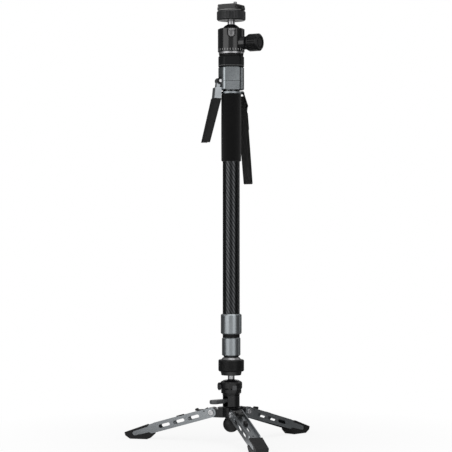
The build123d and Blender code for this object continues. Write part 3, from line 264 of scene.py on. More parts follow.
def carbon_twill():
    """Two-by-two twill round a tube: bright and dark diagonals, each cut into short floats; the weave is the
    tube's own pattern, and the bright and dark of its diagonals are a painted sheen.
    """
    tree, given, out = new_group("Carbon twill", {"Tow": 0.004, "Radius": 0.016})
    angle, z = wound_angle(tree, given["Vector"])
    across = calc(tree, "DIVIDE", calc(tree, "MULTIPLY", angle, given["Radius"]), given["Tow"])
    along = calc(tree, "DIVIDE", z, given["Tow"])
    round_part = calc(tree, "MULTIPLY", across, TWILL_ACROSS)
    lean = calc(tree, "ADD", round_part, calc(tree, "MULTIPLY", along, TWILL_ALONG))
    wave = calc(tree, "SINE", calc(tree, "MULTIPLY", lean, 2 * pi))
    float_run = calc(tree, "ADD", calc(tree, "MULTIPLY", along, 2.0), calc(tree, "MULTIPLY", wave, 0.15))
    cut = calc(tree, "SINE", calc(tree, "MULTIPLY", float_run, 2 * pi))
    fibre = noise(tree, given["Vector"], 1500.0, 2.0)
    sheen = ramp(tree, calc(tree, "ADD", wave, calc(tree, "MULTIPLY", cut, 0.35)), -1.2, 1.2)
    tone = calc(tree, "ADD", calc(tree, "MULTIPLY", sheen, 0.85), calc(tree, "MULTIPLY", fibre, 0.25))
    link(tree, ramp(tree, tone, 0.1, 1.0), out["Tone"])
    link(tree, ramp(tree, noise(tree, given["Vector"], 30.0), 0.3, 0.7), out["Gloss"])
    link(tree, sheen, out["Height"])
    return tree


def foam_cells():
    """Skinned closed-cell foam: tiny pores over a soft unevenness."""
    tree, given, out = new_group("Foam cells", {"Cell": 0.0007})
    pore = tree.nodes.new("ShaderNodeTexVoronoi")
    link(tree, given["Vector"], pore.inputs["Vector"])
    link(tree, calc(tree, "DIVIDE", 1.0, given["Cell"]), pore.inputs["Scale"])
    swell = noise(tree, given["Vector"], 60.0, 3.0)
    link(tree, ramp(tree, calc(tree, "ADD", pore.outputs["Distance"], swell), 0.4, 1.3), out["Tone"])
    link(tree, swell, out["Gloss"])
    link(tree, calc(tree, "ADD", pore.outputs["Distance"], swell), out["Height"])
    return tree


def rib_weave():
    """Flat webbing on its own map: across in U and along in V, both in metres."""
    tree, given, out = new_group("Rib weave", {"Pitch": 0.0012})
    u, v, _ = split(tree, given["Vector"])
    across = calc(tree, "DIVIDE", u, given["Pitch"])
    along = calc(tree, "DIVIDE", v, given["Pitch"])
    zigzag = calc(tree, "PINGPONG", across, 1.0)
    rib = calc(tree, "SINE", calc(tree, "MULTIPLY", calc(tree, "ADD", along, zigzag), 2 * pi))
    yarn = calc(tree, "SINE", calc(tree, "MULTIPLY", across, 4 * pi))
    height = calc(tree, "ADD", rib, calc(tree, "MULTIPLY", yarn, 0.5))
    fuzz = noise(tree, given["Vector"], 2500.0, 2.0)
    tone = calc(tree, "ADD", ramp(tree, height, -1.5, 1.5), calc(tree, "MULTIPLY", fuzz, 0.4))
    link(tree, ramp(tree, tone, 0.2, 1.2), out["Tone"])
    link(tree, fuzz, out["Gloss"])
    link(tree, height, out["Height"])
    return tree


def screw_thread():
    """A helical thread on the camera screw, which stands off the column's axis."""
    tree, given, out = new_group("Screw thread", {"Pitch": 0.00127})
    angle, z = wound_angle(tree, given["Vector"])
    turn = calc(tree, "ADD", calc(tree, "DIVIDE", z, given["Pitch"]), calc(tree, "DIVIDE", angle, 2 * pi))
    wave = calc(tree, "PINGPONG", turn, 0.5)
    link(tree, ramp(tree, wave, 0.0, 0.5), out["Tone"])
    link(tree, noise(tree, given["Vector"], 400.0), out["Gloss"])
    link(tree, wave, out["Height"])
    return tree


def scale_marks():
    """Mask of the degree marks on the lower edge of the head's housing."""
    tree, given, out = new_group("Scale marks", {"Low": 0.7412, "High": 0.7450, "Count": 30.0})
    angle, z = wound_angle(tree, given["Vector"])
    turn = calc(tree, "FRACT", calc(tree, "MULTIPLY", calc(tree, "DIVIDE", angle, 2 * pi), given["Count"]))
    tick = calc(tree, "LESS_THAN", turn, TICK_SHARE)
    above = calc(tree, "GREATER_THAN", z, given["Low"])
    below = calc(tree, "LESS_THAN", z, given["High"])
    send_mask(tree, calc(tree, "MULTIPLY", tick, calc(tree, "MULTIPLY", above, below)), out)
    return tree


def height_band():
    """Mask of one band of height, with a short soft edge."""
    tree, given, out = new_group("Height band", {"Low": 0.0, "High": 1.0})
    _, _, z = split(tree, given["Vector"])
    low = calc(tree, "SUBTRACT", z, given["Low"])
    high = calc(tree, "SUBTRACT", given["High"], z)
    mask = calc(tree, "MULTIPLY", ramp(tree, low, 0.0, BAND_EDGE), ramp(tree, high, 0.0, BAND_EDGE))
    send_mask(tree, mask, out)
    return tree


def painted_crest_highlight():
    """Mask of a painted highlight on the crests of a ribbed ring, which leaves the grooves darker as painted
    shade.
    """
    tree, given, out = new_group("Worn crest", {"Radius": 0.02})
    x, y, _ = split(tree, given["Vector"])
    below = calc(tree, "SUBTRACT", given["Radius"], axis_reach(tree, x, y))
    send_mask(tree, ramp(tree, below, CREST_DEPTH, 0.0, 0.0, CREST_HIGHLIGHT), out)
    return tree


EFFECTS = {
    "Blasted skin": blasted_skin,
    "Turned skin": turned_skin,
    "Carbon twill": carbon_twill,
    "Foam cells": foam_cells,
    "Rib weave": rib_weave,
    "Screw thread": screw_thread,
    "Scale marks": scale_marks,
    "Height band": height_band,
    "Worn crest": painted_crest_highlight,
}


def effect(tree, name, vector, settings):
    """Place an effect's node group in a material, with this material's own values."""
    node = tree.nodes.new("ShaderNodeGroup")
    node.node_tree = bpy.data.node_groups.get(name) or EFFECTS[name]()
    link(tree, vector, node.inputs["Vector"])
    for label, value in settings.items():
        node.inputs[label].default_value = value
    return node.outputs


def blend_colour(tree, factor, first, second):
    node = tree.nodes.new("ShaderNodeMix")
    node.data_type = "RGBA"
    link(tree, factor, node.inputs[0])
    feed(tree, node.inputs[6], first)
    feed(tree, node.inputs[7], second)
    return node.outputs[2]


def backdrop(tree, path, depth, lights, card, spread):
    """White for the camera; for metal, white behind the object, dim to its sides and grey in front."""
    ahead = ramp(tree, depth, CAMERA_CARD, -spread, card, lights.mirror)
    around = ramp(tree, depth, *BEHIND, ahead, 1.0)
    return ramp(tree, path.outputs["Is Glossy Ray"], 0.0, 1.0, 1.0, around)


def shaded(base, amount):
    return tuple(min(1.0, channel * amount) for channel in base) + (1.0,)


def mark(mask, base, rough, metal=0.0, **settings):
    """The second finish that a material has where a mask effect is on."""
    return mask, settings, base, rough, metal


def band(heights, base, rough, metal=0.0):
    """A second finish between two heights."""
    return mark("Height band", base, rough, metal, Low=heights[0], High=heights[1])


def finish(name, base, skin, rough, depth, contrast=0.25, metal=0.0, coat=0.0, sheen=0.0, specular=0.2,
           use_map=False, centre=None, second=None, **settings):
    """A material from a base colour and a skin effect, with a second finish on part of it if one is given."""
    made = bpy.data.materials.new(name)
    made.use_nodes = True
    tree = made.node_tree
    shader = tree.nodes["Principled BSDF"]
    places = tree.nodes.new("ShaderNodeTexCoord")
    vector = places.outputs["UV" if use_map else "Object"]
    if centre:
        shift = tree.nodes.new("ShaderNodeMapping")
        shift.inputs["Location"].default_value = tuple(-part for part in centre)
        link(tree, vector, shift.inputs["Vector"])
        vector = shift.outputs[0]
    skin_out = effect(tree, skin, vector, settings)
    tone = blend_colour(tree, skin_out["Tone"], shaded(base, 1 - contrast), shaded(base, 1 + contrast))
    gloss = ramp(tree, skin_out["Gloss"], 0.0, 1.0, rough * 0.85, rough * 1.15)
    shader.inputs["Metallic"].default_value = metal
    if second:
        mask, mask_settings, second_base, second_rough, second_metal = second
        switch = effect(tree, mask, places.outputs["Object"], mask_settings)["Tone"]
        tone = blend_colour(tree, switch, tone, shaded(second_base, 1.0))
        gloss = ramp(tree, switch, 0.0, 1.0, gloss, second_rough)
        if second_metal != metal:
            link(tree, ramp(tree, switch, 0.0, 1.0, metal, second_metal), shader.inputs["Metallic"])
    link(tree, tone, shader.inputs["Base Color"])
    link(tree, gloss, shader.inputs["Roughness"])
    bump = tree.nodes.new("ShaderNodeBump")
    bump.inputs["Strength"].default_value = BUMP_STRENGTH
    bump.inputs["Distance"].default_value = depth
    link(tree, skin_out["Height"], bump.inputs["Height"])
    link(tree, bump.outputs[0], shader.inputs["Normal"])
    shader.inputs["Coat Weight"].default_value = coat
    shader.inputs["Coat Roughness"].default_value = COAT_ROUGHNESS
    shader.inputs["Sheen Weight"].default_value = sheen
    shader.inputs["Specular IOR Level"].default_value = specular
    return made


def dress(material, *names):
    """Give a material to CAD nodes."""
    for name in names:
        mesh = frame["nodes"][name].data
        mesh.materials.clear()
        mesh.materials.append(material)


# Mesh helpers

def new_piece(name, mesh, material, body, *stands_for):
    piece = bpy.data.objects.new(name, mesh)
    bpy.context.scene.collection.objects.link(piece)
    piece.data.materials.clear()
    piece.data.materials.append(material)
    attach(piece, body)
    if stands_for:
        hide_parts(*stands_for)
    return piece


def to_mesh(name, built, smooth=True):
    bmesh.ops.recalc_face_normals(built, faces=built.faces[:])
    mesh = bpy.data.meshes.new(name)
    built.to_mesh(mesh)
    built.free()
    if smooth:
        mesh.shade_smooth()
    return mesh


def softened(node, name, material, radius):
    """A copy of a moulded CAD node with its edges rounded as the mould leaves them."""
    built = bmesh.new()
    built.from_mesh(frame["nodes"][node].data)
    bmesh.ops.remove_doubles(built, verts=built.verts[:], dist=CAD_SNAP)
    bmesh.ops.dissolve_limit(built, angle_limit=radians(1), verts=built.verts[:], edges=built.edges[:])
    mesh = bpy.data.meshes.new(name)
    built.to_mesh(mesh)
    built.free()
    mesh.shade_smooth()
    piece = new_piece(name, mesh, material, frame["nodes"][node]["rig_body"], node)
    rounding = piece.modifiers.new("Round edges", "BEVEL")
    rounding.width = radius
    rounding.segments = 3
    rounding.limit_method = "ANGLE"
    rounding.angle_limit = radians(35)
    rounding.harden_normals = False
    normals = piece.modifiers.new("Even shading", "WEIGHTED_NORMAL")
    normals.keep_sharp = True
    return piece


# Operators

class MonopodOperator:
    bl_options = {"REGISTER", "UNDO"}

    def settings(self, context):
        scene = context.scene
        return scene.monopod_colours, scene.monopod_sizes, scene.monopod_lights


class MONOPOD_OT_head(MonopodOperator, bpy.types.Operator):
    """Finish the quick release, the ball and the housing of the head"""

    bl_idname = "monopod.head"
    bl_label = "Head"

    coarse_grain = 520.0
    clamp_line = (0.8176, 0.8188)
    index_shadow = (0.7300, 0.7358)

    def execute(self, context):
        colours, sizes, _ = self.settings(context)
        black = finish("Black anodised head", colours.black_anodised, "Blasted skin", rough=0.3,
                       depth=0.00004, contrast=0.6, specular=0.45, Grain=self.coarse_grain)
        rim = finish("Clamp body", colours.black_anodised, "Turned skin", rough=0.28, depth=0.00001,
                     specular=0.55, second=band(self.clamp_line, colours.tick, rough=0.3))
        housing = finish("Head housing", colours.black_anodised, "Turned skin", rough=0.2, depth=0.00001,
                         specular=0.62, second=mark("Scale marks", colours.tick, rough=0.5))
        knob = finish("Knob black", colours.knob_black, "Blasted skin", rough=0.3, depth=0.00002,
                      specular=0.22, Grain=1800.0)
        ball = finish("Ball", colours.ball_grey, "Blasted skin", rough=0.3, depth=0.00001, metal=1.0,
                      Grain=2200.0)
        bright = finish("Turned stem", colours.bright, "Turned skin", rough=0.24, depth=0.00001, metal=1.0,
                        contrast=0.12)
        index = finish("Index ring", colours.bright, "Turned skin", rough=0.46, depth=0.00001, metal=1.0,
                       contrast=0.15, second=band(self.index_shadow, colours.knob_black, rough=0.5))
        screw = finish("Camera screw", colours.ball_grey, "Screw thread", rough=0.3, depth=0.0004,
                       metal=1.0, contrast=0.3, centre=self.screw_centre(), Pitch=sizes.thread_pitch)
        pads = finish("Plate pads", colours.rubber, "Blasted skin", rough=0.75, depth=0.00008, Grain=700.0)
        plain = finish("Plain steel", colours.steel, "Turned skin", rough=0.3, depth=0.00001, metal=1.0)
        low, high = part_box("clamp_ring")
        # The clamp ring's crests get a painted highlight in the lighter black; the grooves keep the darker
        # black as painted shade
        crest = mark("Worn crest", colours.pale_black_and_crest_highlight, rough=0.34, Radius=(high.x - low.x) / 2)
        ribs = finish("Clamp ring", colours.knob_black, "Blasted skin", rough=0.3, depth=0.00004,
                      contrast=0.6, specular=0.3, second=crest, Grain=self.coarse_grain)
        dress(black, "camera_plate", "clamp_jaw")
        dress(ribs, "clamp_ring")
        dress(rim, "clamp_body")
        dress(housing, "ball_housing")
        dress(knob, "lock_knob", "pan_knob", "ball_cup")
        dress(ball, "ball")
        dress(bright, "ball_stem")
        dress(index, "pan_base")
        dress(screw, "camera_screw")
        dress(pads, "plate_pads")
        dress(plain, "lock_screw", "head_stud")
        return {"FINISHED"}

    @staticmethod
    def screw_centre():
        low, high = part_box("camera_screw")
        return ((low.x + high.x) / 2, (low.y + high.y) / 2, 0.0)


class MONOPOD_OT_column(MonopodOperator, bpy.types.Operator):
    """Finish the column: its head, the carbon sections, the collars and what they hold"""

    bl_idname = "monopod.column"
    bl_label = "Column"

    cap_line = (0.7131, 0.7137)
    seam_share = 0.39
    seam_half = 0.0004

    def execute(self, context):
        colours, sizes, _ = self.settings(context)
        satin = finish("Satin band", colours.satin_black, "Blasted skin", rough=0.36, depth=0.00002,
                       specular=0.15, second=band(self.cap_line, colours.tick, rough=0.35), Grain=1600.0)
        grey = finish("Grey anodised", colours.collar_grey, "Turned skin", rough=0.3, depth=0.000003,
                      metal=1.0, contrast=0.07)
        silver = finish("Strap collar", colours.collar_grey, "Turned skin", rough=0.42, depth=0.00001,
                        metal=1.0, contrast=0.12)
        plastic = finish("Bush plastic", colours.plastic, "Blasted skin", rough=0.5, depth=0.00003)
        inner = finish("Release train", colours.steel, "Turned skin", rough=0.35, depth=0.00001, metal=1.0)
        shoe = finish("Brake shoe", colours.rubber, "Blasted skin", rough=0.8, depth=0.00005)
        dress(satin, "top_cap")
        low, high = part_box("column_head")
        seam = high.z - self.seam_share * (high.z - low.z)
        gap = band((seam - self.seam_half, seam + self.seam_half), colours.plastic, rough=0.5)
        body = finish("Column head", colours.collar_grey, "Turned skin", rough=0.24, depth=0.000008,
                      metal=1.0, contrast=0.12, second=gap)
        dress(grey, "upper_collar", "lower_collar")
        dress(body, "column_head")
        dress(silver, "strap_collar")
        dress(plastic, "upper_bush", "lower_bush", "upper_clutch", "lower_clutch")
        dress(inner, "control_rod", "control_tube", "lower_cam")
        dress(shoe, "upper_shoes", "lower_shoes")
        # Mean carbon tone, which the twill's painted sheen spreads into bright and dark tows
        base = tuple((a + b) / 2 for a, b in zip(colours.carbon_dark, colours.carbon_light))
        for node in ("top_tube", "middle_tube", "lower_tube"):
            low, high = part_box(node)
            radius = (high.x - low.x) / 2
            carbon = finish(f"Carbon {node}", base, "Carbon twill", rough=0.24, depth=0.00002, contrast=0.9,
                            metal=1.0, coat=0.1, Tow=sizes.tow_width, Radius=radius)
            dress(carbon, node)
        return {"FINISHED"}


class MONOPOD_OT_lever(MonopodOperator, bpy.types.Operator):
    """Finish the squeeze lever and the loop of the strap"""

    bl_idname = "monopod.lever"
    bl_label = "Squeeze lever"

    def execute(self, context):
        colours, _, _ = self.settings(context)
        silver = finish("Lever arm", colours.leg_grey, "Blasted skin", rough=0.34, depth=0.00002, metal=1.0,
                        contrast=0.12)
        cover = finish("Lever cover", colours.plastic, "Blasted skin", rough=0.42, depth=0.00004,
                       specular=0.22, Grain=900.0)
        fork = finish("Lever fork", colours.black_anodised, "Blasted skin", rough=0.4, depth=0.00002)
        pin = finish("Lever pin", colours.steel, "Blasted skin", rough=0.25, depth=0.00001, metal=1.0)
        loop = finish("Strap loop", colours.plastic, "Blasted skin", rough=0.35, depth=0.00003)
        dress(silver, "lever_arm")
        dress(cover, "lever_cover")
        dress(fork, "lever_bracket")
        dress(pin, "lever_pin")
        dress(loop, "strap_loop")
        return {"FINISHED"}


class MONOPOD_OT_base(MonopodOperator, bpy.types.Operator):
    """Finish the tilting base, its legs, boots, tabs and bolts"""

    bl_idname = "monopod.base"
    bl_label = "Base"

    bare_socket = (0.1557, 0.17)
    bare_stem = (0.1187, 0.16)

    def execute(self, context):
        colours, sizes, _ = self.settings(context)
        black = finish("Black anodised base", colours.black_anodised, "Blasted skin", rough=0.22,
                       depth=0.00002, specular=0.42, Grain=1300.0)
        ring = finish("Base ring", colours.knob_black, "Blasted skin", rough=0.34, depth=0.00002,
                      specular=0.28, Grain=1500.0)
        socket = finish("Foot socket", colours.black_anodised, "Turned skin", rough=0.33, depth=0.00001,
                        specular=0.6,
                        second=band(self.bare_socket, colours.ball_grey, rough=0.3, metal=1.0))
        joint = finish("Base ball", colours.black_anodised, "Turned skin", rough=0.28, depth=0.00001,
                       specular=0.8, second=band(self.bare_stem, colours.bright, rough=0.24, metal=1.0))
        leg = finish("Leg grey", colours.leg_grey, "Blasted skin", rough=0.34, depth=0.00002, metal=1.0,
                     contrast=0.1, Grain=1500.0, Marks=14.0)
        tab = finish("Leg tab", colours.plastic, "Blasted skin", rough=0.4, depth=0.00003, specular=0.5)
        bolt = finish("Leg bolt", colours.bolt_silver, "Blasted skin", rough=0.26, depth=0.00001, metal=1.0,
                      contrast=0.1)
        rubber = finish("Moulded rubber", colours.rubber, "Blasted skin", rough=0.55, depth=0.00006,
                        specular=0.35, Grain=600.0, Marks=35.0)
        # Pedal and slider in a lighter black than the rest of the base
        paler_black = finish("Worn black", colours.pale_black_and_crest_highlight, "Blasted skin", rough=0.34, depth=0.00002,
                      specular=0.5, Grain=1300.0)
        dress(black, "base_housing", "base_neck", "hub", "base_knob")
        dress(paler_black, "pedal", "slider_button")
        dress(ring, "base_ring", "base_cup")
        dress(socket, "foot_socket")
        dress(joint, "base_ball")
        dress(bolt, "leg_bolts")
        dress(rubber, "hub_foot")
        for side in ("right", "left", "front"):
            dress(leg, f"leg_{side}")
            dress(tab, f"tab_{side}")
            softened(f"rubber_{side}", f"boot_{side}", rubber, sizes.edge_round)
        return {"FINISHED"}


class MONOPOD_OT_grip(MonopodOperator, bpy.types.Operator):
    """Make the foam grip with its rolled ends and slight crown"""

    bl_idname = "monopod.grip"
    bl_label = "Foam grip"

    clearance = 0.0001
    rows = 40
    roll = 6
    around = 96

    def execute(self, context):
        colours, sizes, _ = self.settings(context)
        low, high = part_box("grip_sleeve")
        tube_low, tube_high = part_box("top_tube")
        outer = (high.x - low.x) / 2
        inner = (tube_high.x - tube_low.x) / 2 + self.clearance
        bend = sizes.foam_round
        turns = [pi / 2 * step / self.roll for step in range(self.roll + 1)]
        profile = [Vector((inner, 0, low.z))]
        for turn in turns:
            profile.append(Vector((outer - bend + bend * sin(turn), 0, low.z + bend - bend * cos(turn))))
        for step in range(1, self.rows):
            rise = low.z + bend + (high.z - low.z - 2 * bend) * step / self.rows
            crown = sizes.foam_crown * sin(pi * step / self.rows)
            profile.append(Vector((outer + crown, 0, rise)))
        for turn in turns:
            profile.append(Vector((outer - bend + bend * cos(turn), 0, high.z - bend + bend * sin(turn))))
        profile.append(Vector((inner, 0, high.z)))
        built = bmesh.new()
        verts = [built.verts.new(point) for point in profile]
        edges = [built.edges.new(pair) for pair in zip(verts, verts[1:])]
        edges.append(built.edges.new((verts[-1], verts[0])))
        bmesh.ops.spin(built, geom=verts + edges, cent=(0, 0, 0), axis=(0, 0, 1), angle=2 * pi,
                       steps=self.around, use_merge=True)
        bmesh.ops.remove_doubles(built, verts=built.verts[:], dist=CAD_SNAP)
        foam = finish("Grip foam", colours.foam, "Foam cells", rough=0.85, depth=0.00025, contrast=0.35,
                      sheen=0.15, specular=0.12, Cell=sizes.foam_cell)
        grip = new_piece("foam_grip", to_mesh("foam_grip", built), foam, "upper_section", "grip_sleeve")
        return {"FINISHED"}


class MONOPOD_OT_strap(MonopodOperator, bpy.types.Operator):
    """Make the wrist strap, one closed loop of webbing, with its sewn lap"""

    bl_idname = "monopod.strap"
    bl_label = "Wrist strap"

    place = (0.0250, 0.0, 0.6620)
    azimuth = radians(40)
    reach = 0.1720
    hang = 0.026
    flare = 0.010
    eye = 0.0031
    waist = 0.0015
    foot = 0.0011
    bow = 0.0003
    fold_steps, run_steps, flare_steps, eye_steps, columns = 8, 34, 6, 12, 8
    selvedge = 0.0004
    inset = 0.0002
    lap_span = (-0.070, -0.038)
    lap_thickness = 0.0011
    keeper_span = (-0.0226, -0.0055)
    keeper_top = 0.0063
    keeper_thickness = 0.0014

    def outline(self):
        """Points of the webbing's middle line, in its own plane, from the bottom fold and round."""
        points = []
        for step in range(self.fold_steps + 1):
            turn = -pi / 2 + pi / 2 * step / self.fold_steps
            points.append((self.foot * cos(turn), -self.reach + self.foot * sin(turn)))
        low, high = -self.reach, -self.hang - self.flare
        for step in range(1, self.run_steps + 1):
            part = step / self.run_steps
            bow = self.bow * sin(pi * part)
            points.append((self.foot + (self.waist - self.foot) * part + bow, low + (high - low) * part))
        for step in range(1, self.flare_steps + 1):
            part = step / self.flare_steps
            ease = part * part * (3 - 2 * part)
            points.append((self.waist + (self.eye - self.waist) * ease, high + (-self.hang - high) * part))
        mirrored = [(-x, z) for x, z in reversed(points[1:])]
        for step in range(1, self.eye_steps + 1):
            turn = pi * step / self.eye_steps
            points.append((self.eye * cos(turn), -self.hang + self.eye * sin(turn)))
        return points + mirrored[1:]

    def execute(self, context):
        colours, sizes, _ = self.settings(context)
        points = self.outline()
        count = len(points)
        lengths = [0.0]
        for first, second in zip(points, points[1:] + points[:1]):
            lengths.append(lengths[-1] + (Vector(second) - Vector(first)).length)
        built = bmesh.new()
        order = built.verts.layers.int.new("station")
        ring = bmesh.ops.create_circle(built, segments=count, radius=0.01)["verts"]
        half = sizes.strap_width / 2
        for index, vert in enumerate(ring):
            vert.co = (points[index][0], -half, points[index][1])
            vert[order] = index
        edges = built.edges[:]
        for _ in range(self.columns):
            grown = bmesh.ops.extrude_edge_only(built, edges=edges)["geom"]
            verts = [item for item in grown if isinstance(item, bmesh.types.BMVert)]
            bmesh.ops.translate(built, verts=verts, vec=(0, 2 * half / self.columns, 0))
            edges = [item for item in grown if isinstance(item, bmesh.types.BMEdge)]
        layout = built.loops.layers.uv.new("weave")
        for face in built.faces:
            stations = [loop.vert[order] for loop in face.loops]
            closing = max(stations) - min(stations) > count / 2
            for loop, station in zip(face.loops, stations):
                along = lengths[count] if closing and station == 0 else lengths[station]
                loop[layout].uv = (loop.vert.co.y, along)
        turn = Matrix.Rotation(self.azimuth, 4, "Z") @ Matrix.Translation(self.place)
        turn = turn @ Matrix.Rotation(-sizes.strap_lean, 4, "Y")
        bmesh.ops.transform(built, matrix=turn, verts=built.verts[:])
        weave = finish("Webbing", colours.webbing, "Rib weave", rough=0.72, depth=0.0002, contrast=0.45,
                       sheen=0.25, specular=0.1, use_map=True, Pitch=sizes.rib_pitch)
        strap = new_piece("webbing_strap", to_mesh("webbing_strap", built), weave, "strap", "wrist_strap")
        wall = strap.modifiers.new("Thickness", "SOLIDIFY")
        wall.thickness = sizes.strap_thickness
        wall.offset = 0.0
        edge = strap.modifiers.new("Selvedge", "BEVEL")
        edge.width = self.selvedge
        edge.segments = 2
        edge.limit_method = "ANGLE"
        edge.angle_limit = radians(50)
        outside = self.waist + sizes.strap_thickness / 2 + self.lap_thickness / 2
        half -= self.inset
        lap = self.patch("strap_lap", turn, weave, outside, self.lap_span, (half, half), self.lap_thickness)
        keeper = self.patch("strap_keeper", turn, weave, 0.0, self.keeper_span, (half, self.keeper_top),
                            self.keeper_thickness)
        return {"FINISHED"}

    @staticmethod
    def patch(name, turn, weave, middle, span, halves, thickness):
        """A flat patch of webbing in the strap's frame; its half width goes from one value to the other."""
        low, high = span
        half_low, half_high = halves
        built = bmesh.new()
        bmesh.ops.create_grid(built, x_segments=10, y_segments=12, size=0.5)
        layout = built.loops.layers.uv.new("weave")
        for vert in built.verts:
            across, along = vert.co.x, vert.co.y + 0.5
            half = half_low + (half_high - half_low) * along
            vert.co = (middle - thickness / 2, 2 * across * half, low + (high - low) * along)
        for face in built.faces:
            for loop in face.loops:
                loop[layout].uv = (loop.vert.co.y, loop.vert.co.z)
        bmesh.ops.recalc_face_normals(built, faces=built.faces[:])
        if built.faces[0].normal.x > 0:
            bmesh.ops.reverse_faces(built, faces=built.faces[:])
        bmesh.ops.solidify(built, geom=built.faces[:], thickness=thickness)
        bmesh.ops.transform(built, matrix=turn, verts=built.verts[:])
        piece = new_piece(name, to_mesh(name, built, smooth=False), weave, "strap")
        return piece


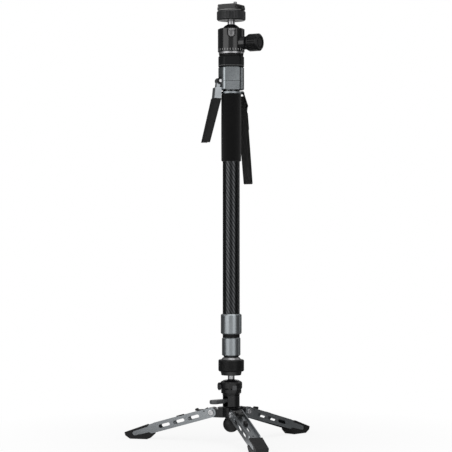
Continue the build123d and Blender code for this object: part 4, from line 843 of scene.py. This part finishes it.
class MONOPOD_OT_stage(MonopodOperator, bpy.types.Operator):
    """Make the white floor, the lights and the camera"""

    bl_idname = "monopod.stage"
    bl_label = "Stage"

    camera_place = (-0.0099, -3.230, 0.409)
    camera_lens = 135.4
    camera_end = 60.0
    softboxes = {
        "key": ((-1.65, -1.45, 1.0), (0, 0, 0.45), 2.0, 2.2),
        "fill": ((1.25, -1.85, 0.9), (0, 0, 0.45), 1.3, 2.2),
        "rim": ((1.85, 0.75, 0.9), (0, 0, 0.45), 0.5, 2.2),
        "top": ((0.1, -0.3, 2.4), (0, 0, 0.4), 1.8, 1.4),
    }
    floor_half = 12.0
    floor_white = 0.92
    floor_rough = 0.9
    floor_fade = (4.0, 6.0)
    floor_spread = 0.45
    shadow_reach = (0.15, 0.6)
    room_spread = 0.78
    ceiling_rise = (0.25, 0.7)

    def execute(self, context):
        _, _, lights = self.settings(context)
        scene = context.scene
        scene.view_settings.view_transform = "Standard"
        self.floor(lights)
        self.room(scene, lights)
        for label, (place, aim, width, height) in self.softboxes.items():
            self.softbox(f"{label}_light", place, aim, width, height, getattr(lights, label))
        lens = bpy.data.cameras.new("camera")
        lens.sensor_width = 36.0
        lens.lens = self.camera_lens
        lens.clip_end = self.camera_end
        camera = bpy.data.objects.new("camera", lens)
        scene.collection.objects.link(camera)
        camera.location = self.camera_place
        camera.rotation_euler = (radians(90), 0, 0)
        scene.camera = camera
        return {"FINISHED"}

    def floor(self, lights):
        """A floor that the camera sees white but for its own shading near the feet."""
        built = bmesh.new()
        bmesh.ops.create_grid(built, x_segments=8, y_segments=8, size=self.floor_half)
        floor = bpy.data.objects.new("floor", to_mesh("floor", built))
        bpy.context.scene.collection.objects.link(floor)
        made = bpy.data.materials.new("Floor")
        made.use_nodes = True
        tree = made.node_tree
        shader = tree.nodes["Principled BSDF"]
        shader.inputs["Base Color"].default_value = (self.floor_white,) * 3 + (1,)
        shader.inputs["Roughness"].default_value = self.floor_rough
        glow = tree.nodes.new("ShaderNodeEmission")
        path = tree.nodes.new("ShaderNodeLightPath")
        seen = self.looked_at(tree, path)
        places = tree.nodes.new("ShaderNodeTexCoord")
        x, y, _ = split(tree, places.outputs["Object"])
        reach = axis_reach(tree, x, y)
        near = ramp(tree, reach, *self.floor_fade, 1.0, 0.0)
        depth = calc(tree, "MULTIPLY", calc(tree, "DIVIDE", y, reach), near)
        level = backdrop(tree, path, depth, lights, card=1.0, spread=self.floor_spread)
        link(tree, level, glow.inputs["Strength"])
        keep = ramp(tree, reach, *self.shadow_reach, lights.shadow, 0.0)
        factor = calc(tree, "MULTIPLY", seen, calc(tree, "SUBTRACT", 1.0, keep))
        mixer = tree.nodes.new("ShaderNodeMixShader")
        link(tree, factor, mixer.inputs[0])
        link(tree, shader.outputs[0], mixer.inputs[1])
        link(tree, glow.outputs[0], mixer.inputs[2])
        link(tree, mixer.outputs[0], tree.nodes["Material Output"].inputs["Surface"])
        floor.data.materials.append(made)

    def room(self, scene, lights):
        """White for the camera, dimmer for the object, and brighter overhead for metal."""
        world = bpy.data.worlds.new("White room")
        world.use_nodes = True
        tree = world.node_tree
        tree.nodes.clear()
        path = tree.nodes.new("ShaderNodeLightPath")
        seen = self.looked_at(tree, path)
        places = tree.nodes.new("ShaderNodeTexCoord")
        _, depth, rise = split(tree, places.outputs["Generated"])
        level = backdrop(tree, path, depth, lights, card=lights.card, spread=self.room_spread)
        overhead = ramp(tree, rise, *self.ceiling_rise, lights.mirror, lights.ceiling)
        shown = calc(tree, "MAXIMUM", level, overhead)
        back = tree.nodes.new("ShaderNodeBackground")
        back.inputs["Color"].default_value = (1, 1, 1, 1)
        link(tree, ramp(tree, seen, 0.0, 1.0, lights.room, shown), back.inputs["Strength"])
        out = tree.nodes.new("ShaderNodeOutputWorld")
        link(tree, back.outputs[0], out.inputs["Surface"])
        scene.world = world

    @staticmethod
    def looked_at(tree, path):
        """On for the rays of the camera, of reflections and through gaps; off for the light on the object."""
        seen = calc(tree, "MAXIMUM", path.outputs["Is Camera Ray"], path.outputs["Is Glossy Ray"])
        return calc(tree, "MAXIMUM", seen, path.outputs["Is Transmission Ray"])

    @staticmethod
    def softbox(name, place, aim, width, height, watts):
        lamp = bpy.data.lights.new(name, "AREA")
        lamp.shape = "RECTANGLE"
        lamp.size = width
        lamp.size_y = height
        lamp.energy = watts
        holder = bpy.data.objects.new(name, lamp)
        bpy.context.scene.collection.objects.link(holder)
        holder.location = place
        holder.rotation_euler = (Vector(aim) - Vector(place)).to_track_quat("-Z", "Y").to_euler()


class MONOPOD_PT_panel(bpy.types.Panel):
    """Sidebar panel with every step and its settings"""

    bl_label = "Camera monopod"
    bl_idname = "MONOPOD_PT_panel"
    bl_space_type = "VIEW_3D"
    bl_region_type = "UI"
    bl_category = "Monopod"

    def draw(self, context):
        layout = self.layout
        for step in STEPS:
            layout.operator(step.bl_idname)
        scene = context.scene
        for group in (scene.monopod_colours, scene.monopod_sizes, scene.monopod_lights):
            box = layout.box()
            for label in group.bl_rna.properties.keys():
                if label not in {"rna_type", "name"}:
                    box.prop(group, label)


STEPS = (
    MONOPOD_OT_head,
    MONOPOD_OT_column,
    MONOPOD_OT_lever,
    MONOPOD_OT_base,
    MONOPOD_OT_grip,
    MONOPOD_OT_strap,
    MONOPOD_OT_stage,
)
CLASSES = (MonopodColours, MonopodSizes, MonopodLights) + STEPS + (MONOPOD_PT_panel,)


def register():
    for item in CLASSES:
        bpy.utils.register_class(item)
    bpy.types.Scene.monopod_colours = PointerProperty(type=MonopodColours)
    bpy.types.Scene.monopod_sizes = PointerProperty(type=MonopodSizes)
    bpy.types.Scene.monopod_lights = PointerProperty(type=MonopodLights)


def unregister():
    del bpy.types.Scene.monopod_lights
    del bpy.types.Scene.monopod_sizes
    del bpy.types.Scene.monopod_colours
    for item in reversed(CLASSES):
        bpy.utils.unregister_class(item)


def main():
    register()
    bpy.ops.monopod.head()
    bpy.ops.monopod.column()
    bpy.ops.monopod.lever()
    bpy.ops.monopod.base()
    bpy.ops.monopod.grip()
    bpy.ops.monopod.strap()
    bpy.ops.monopod.stage()


if __name__ == "__main__":
    main()
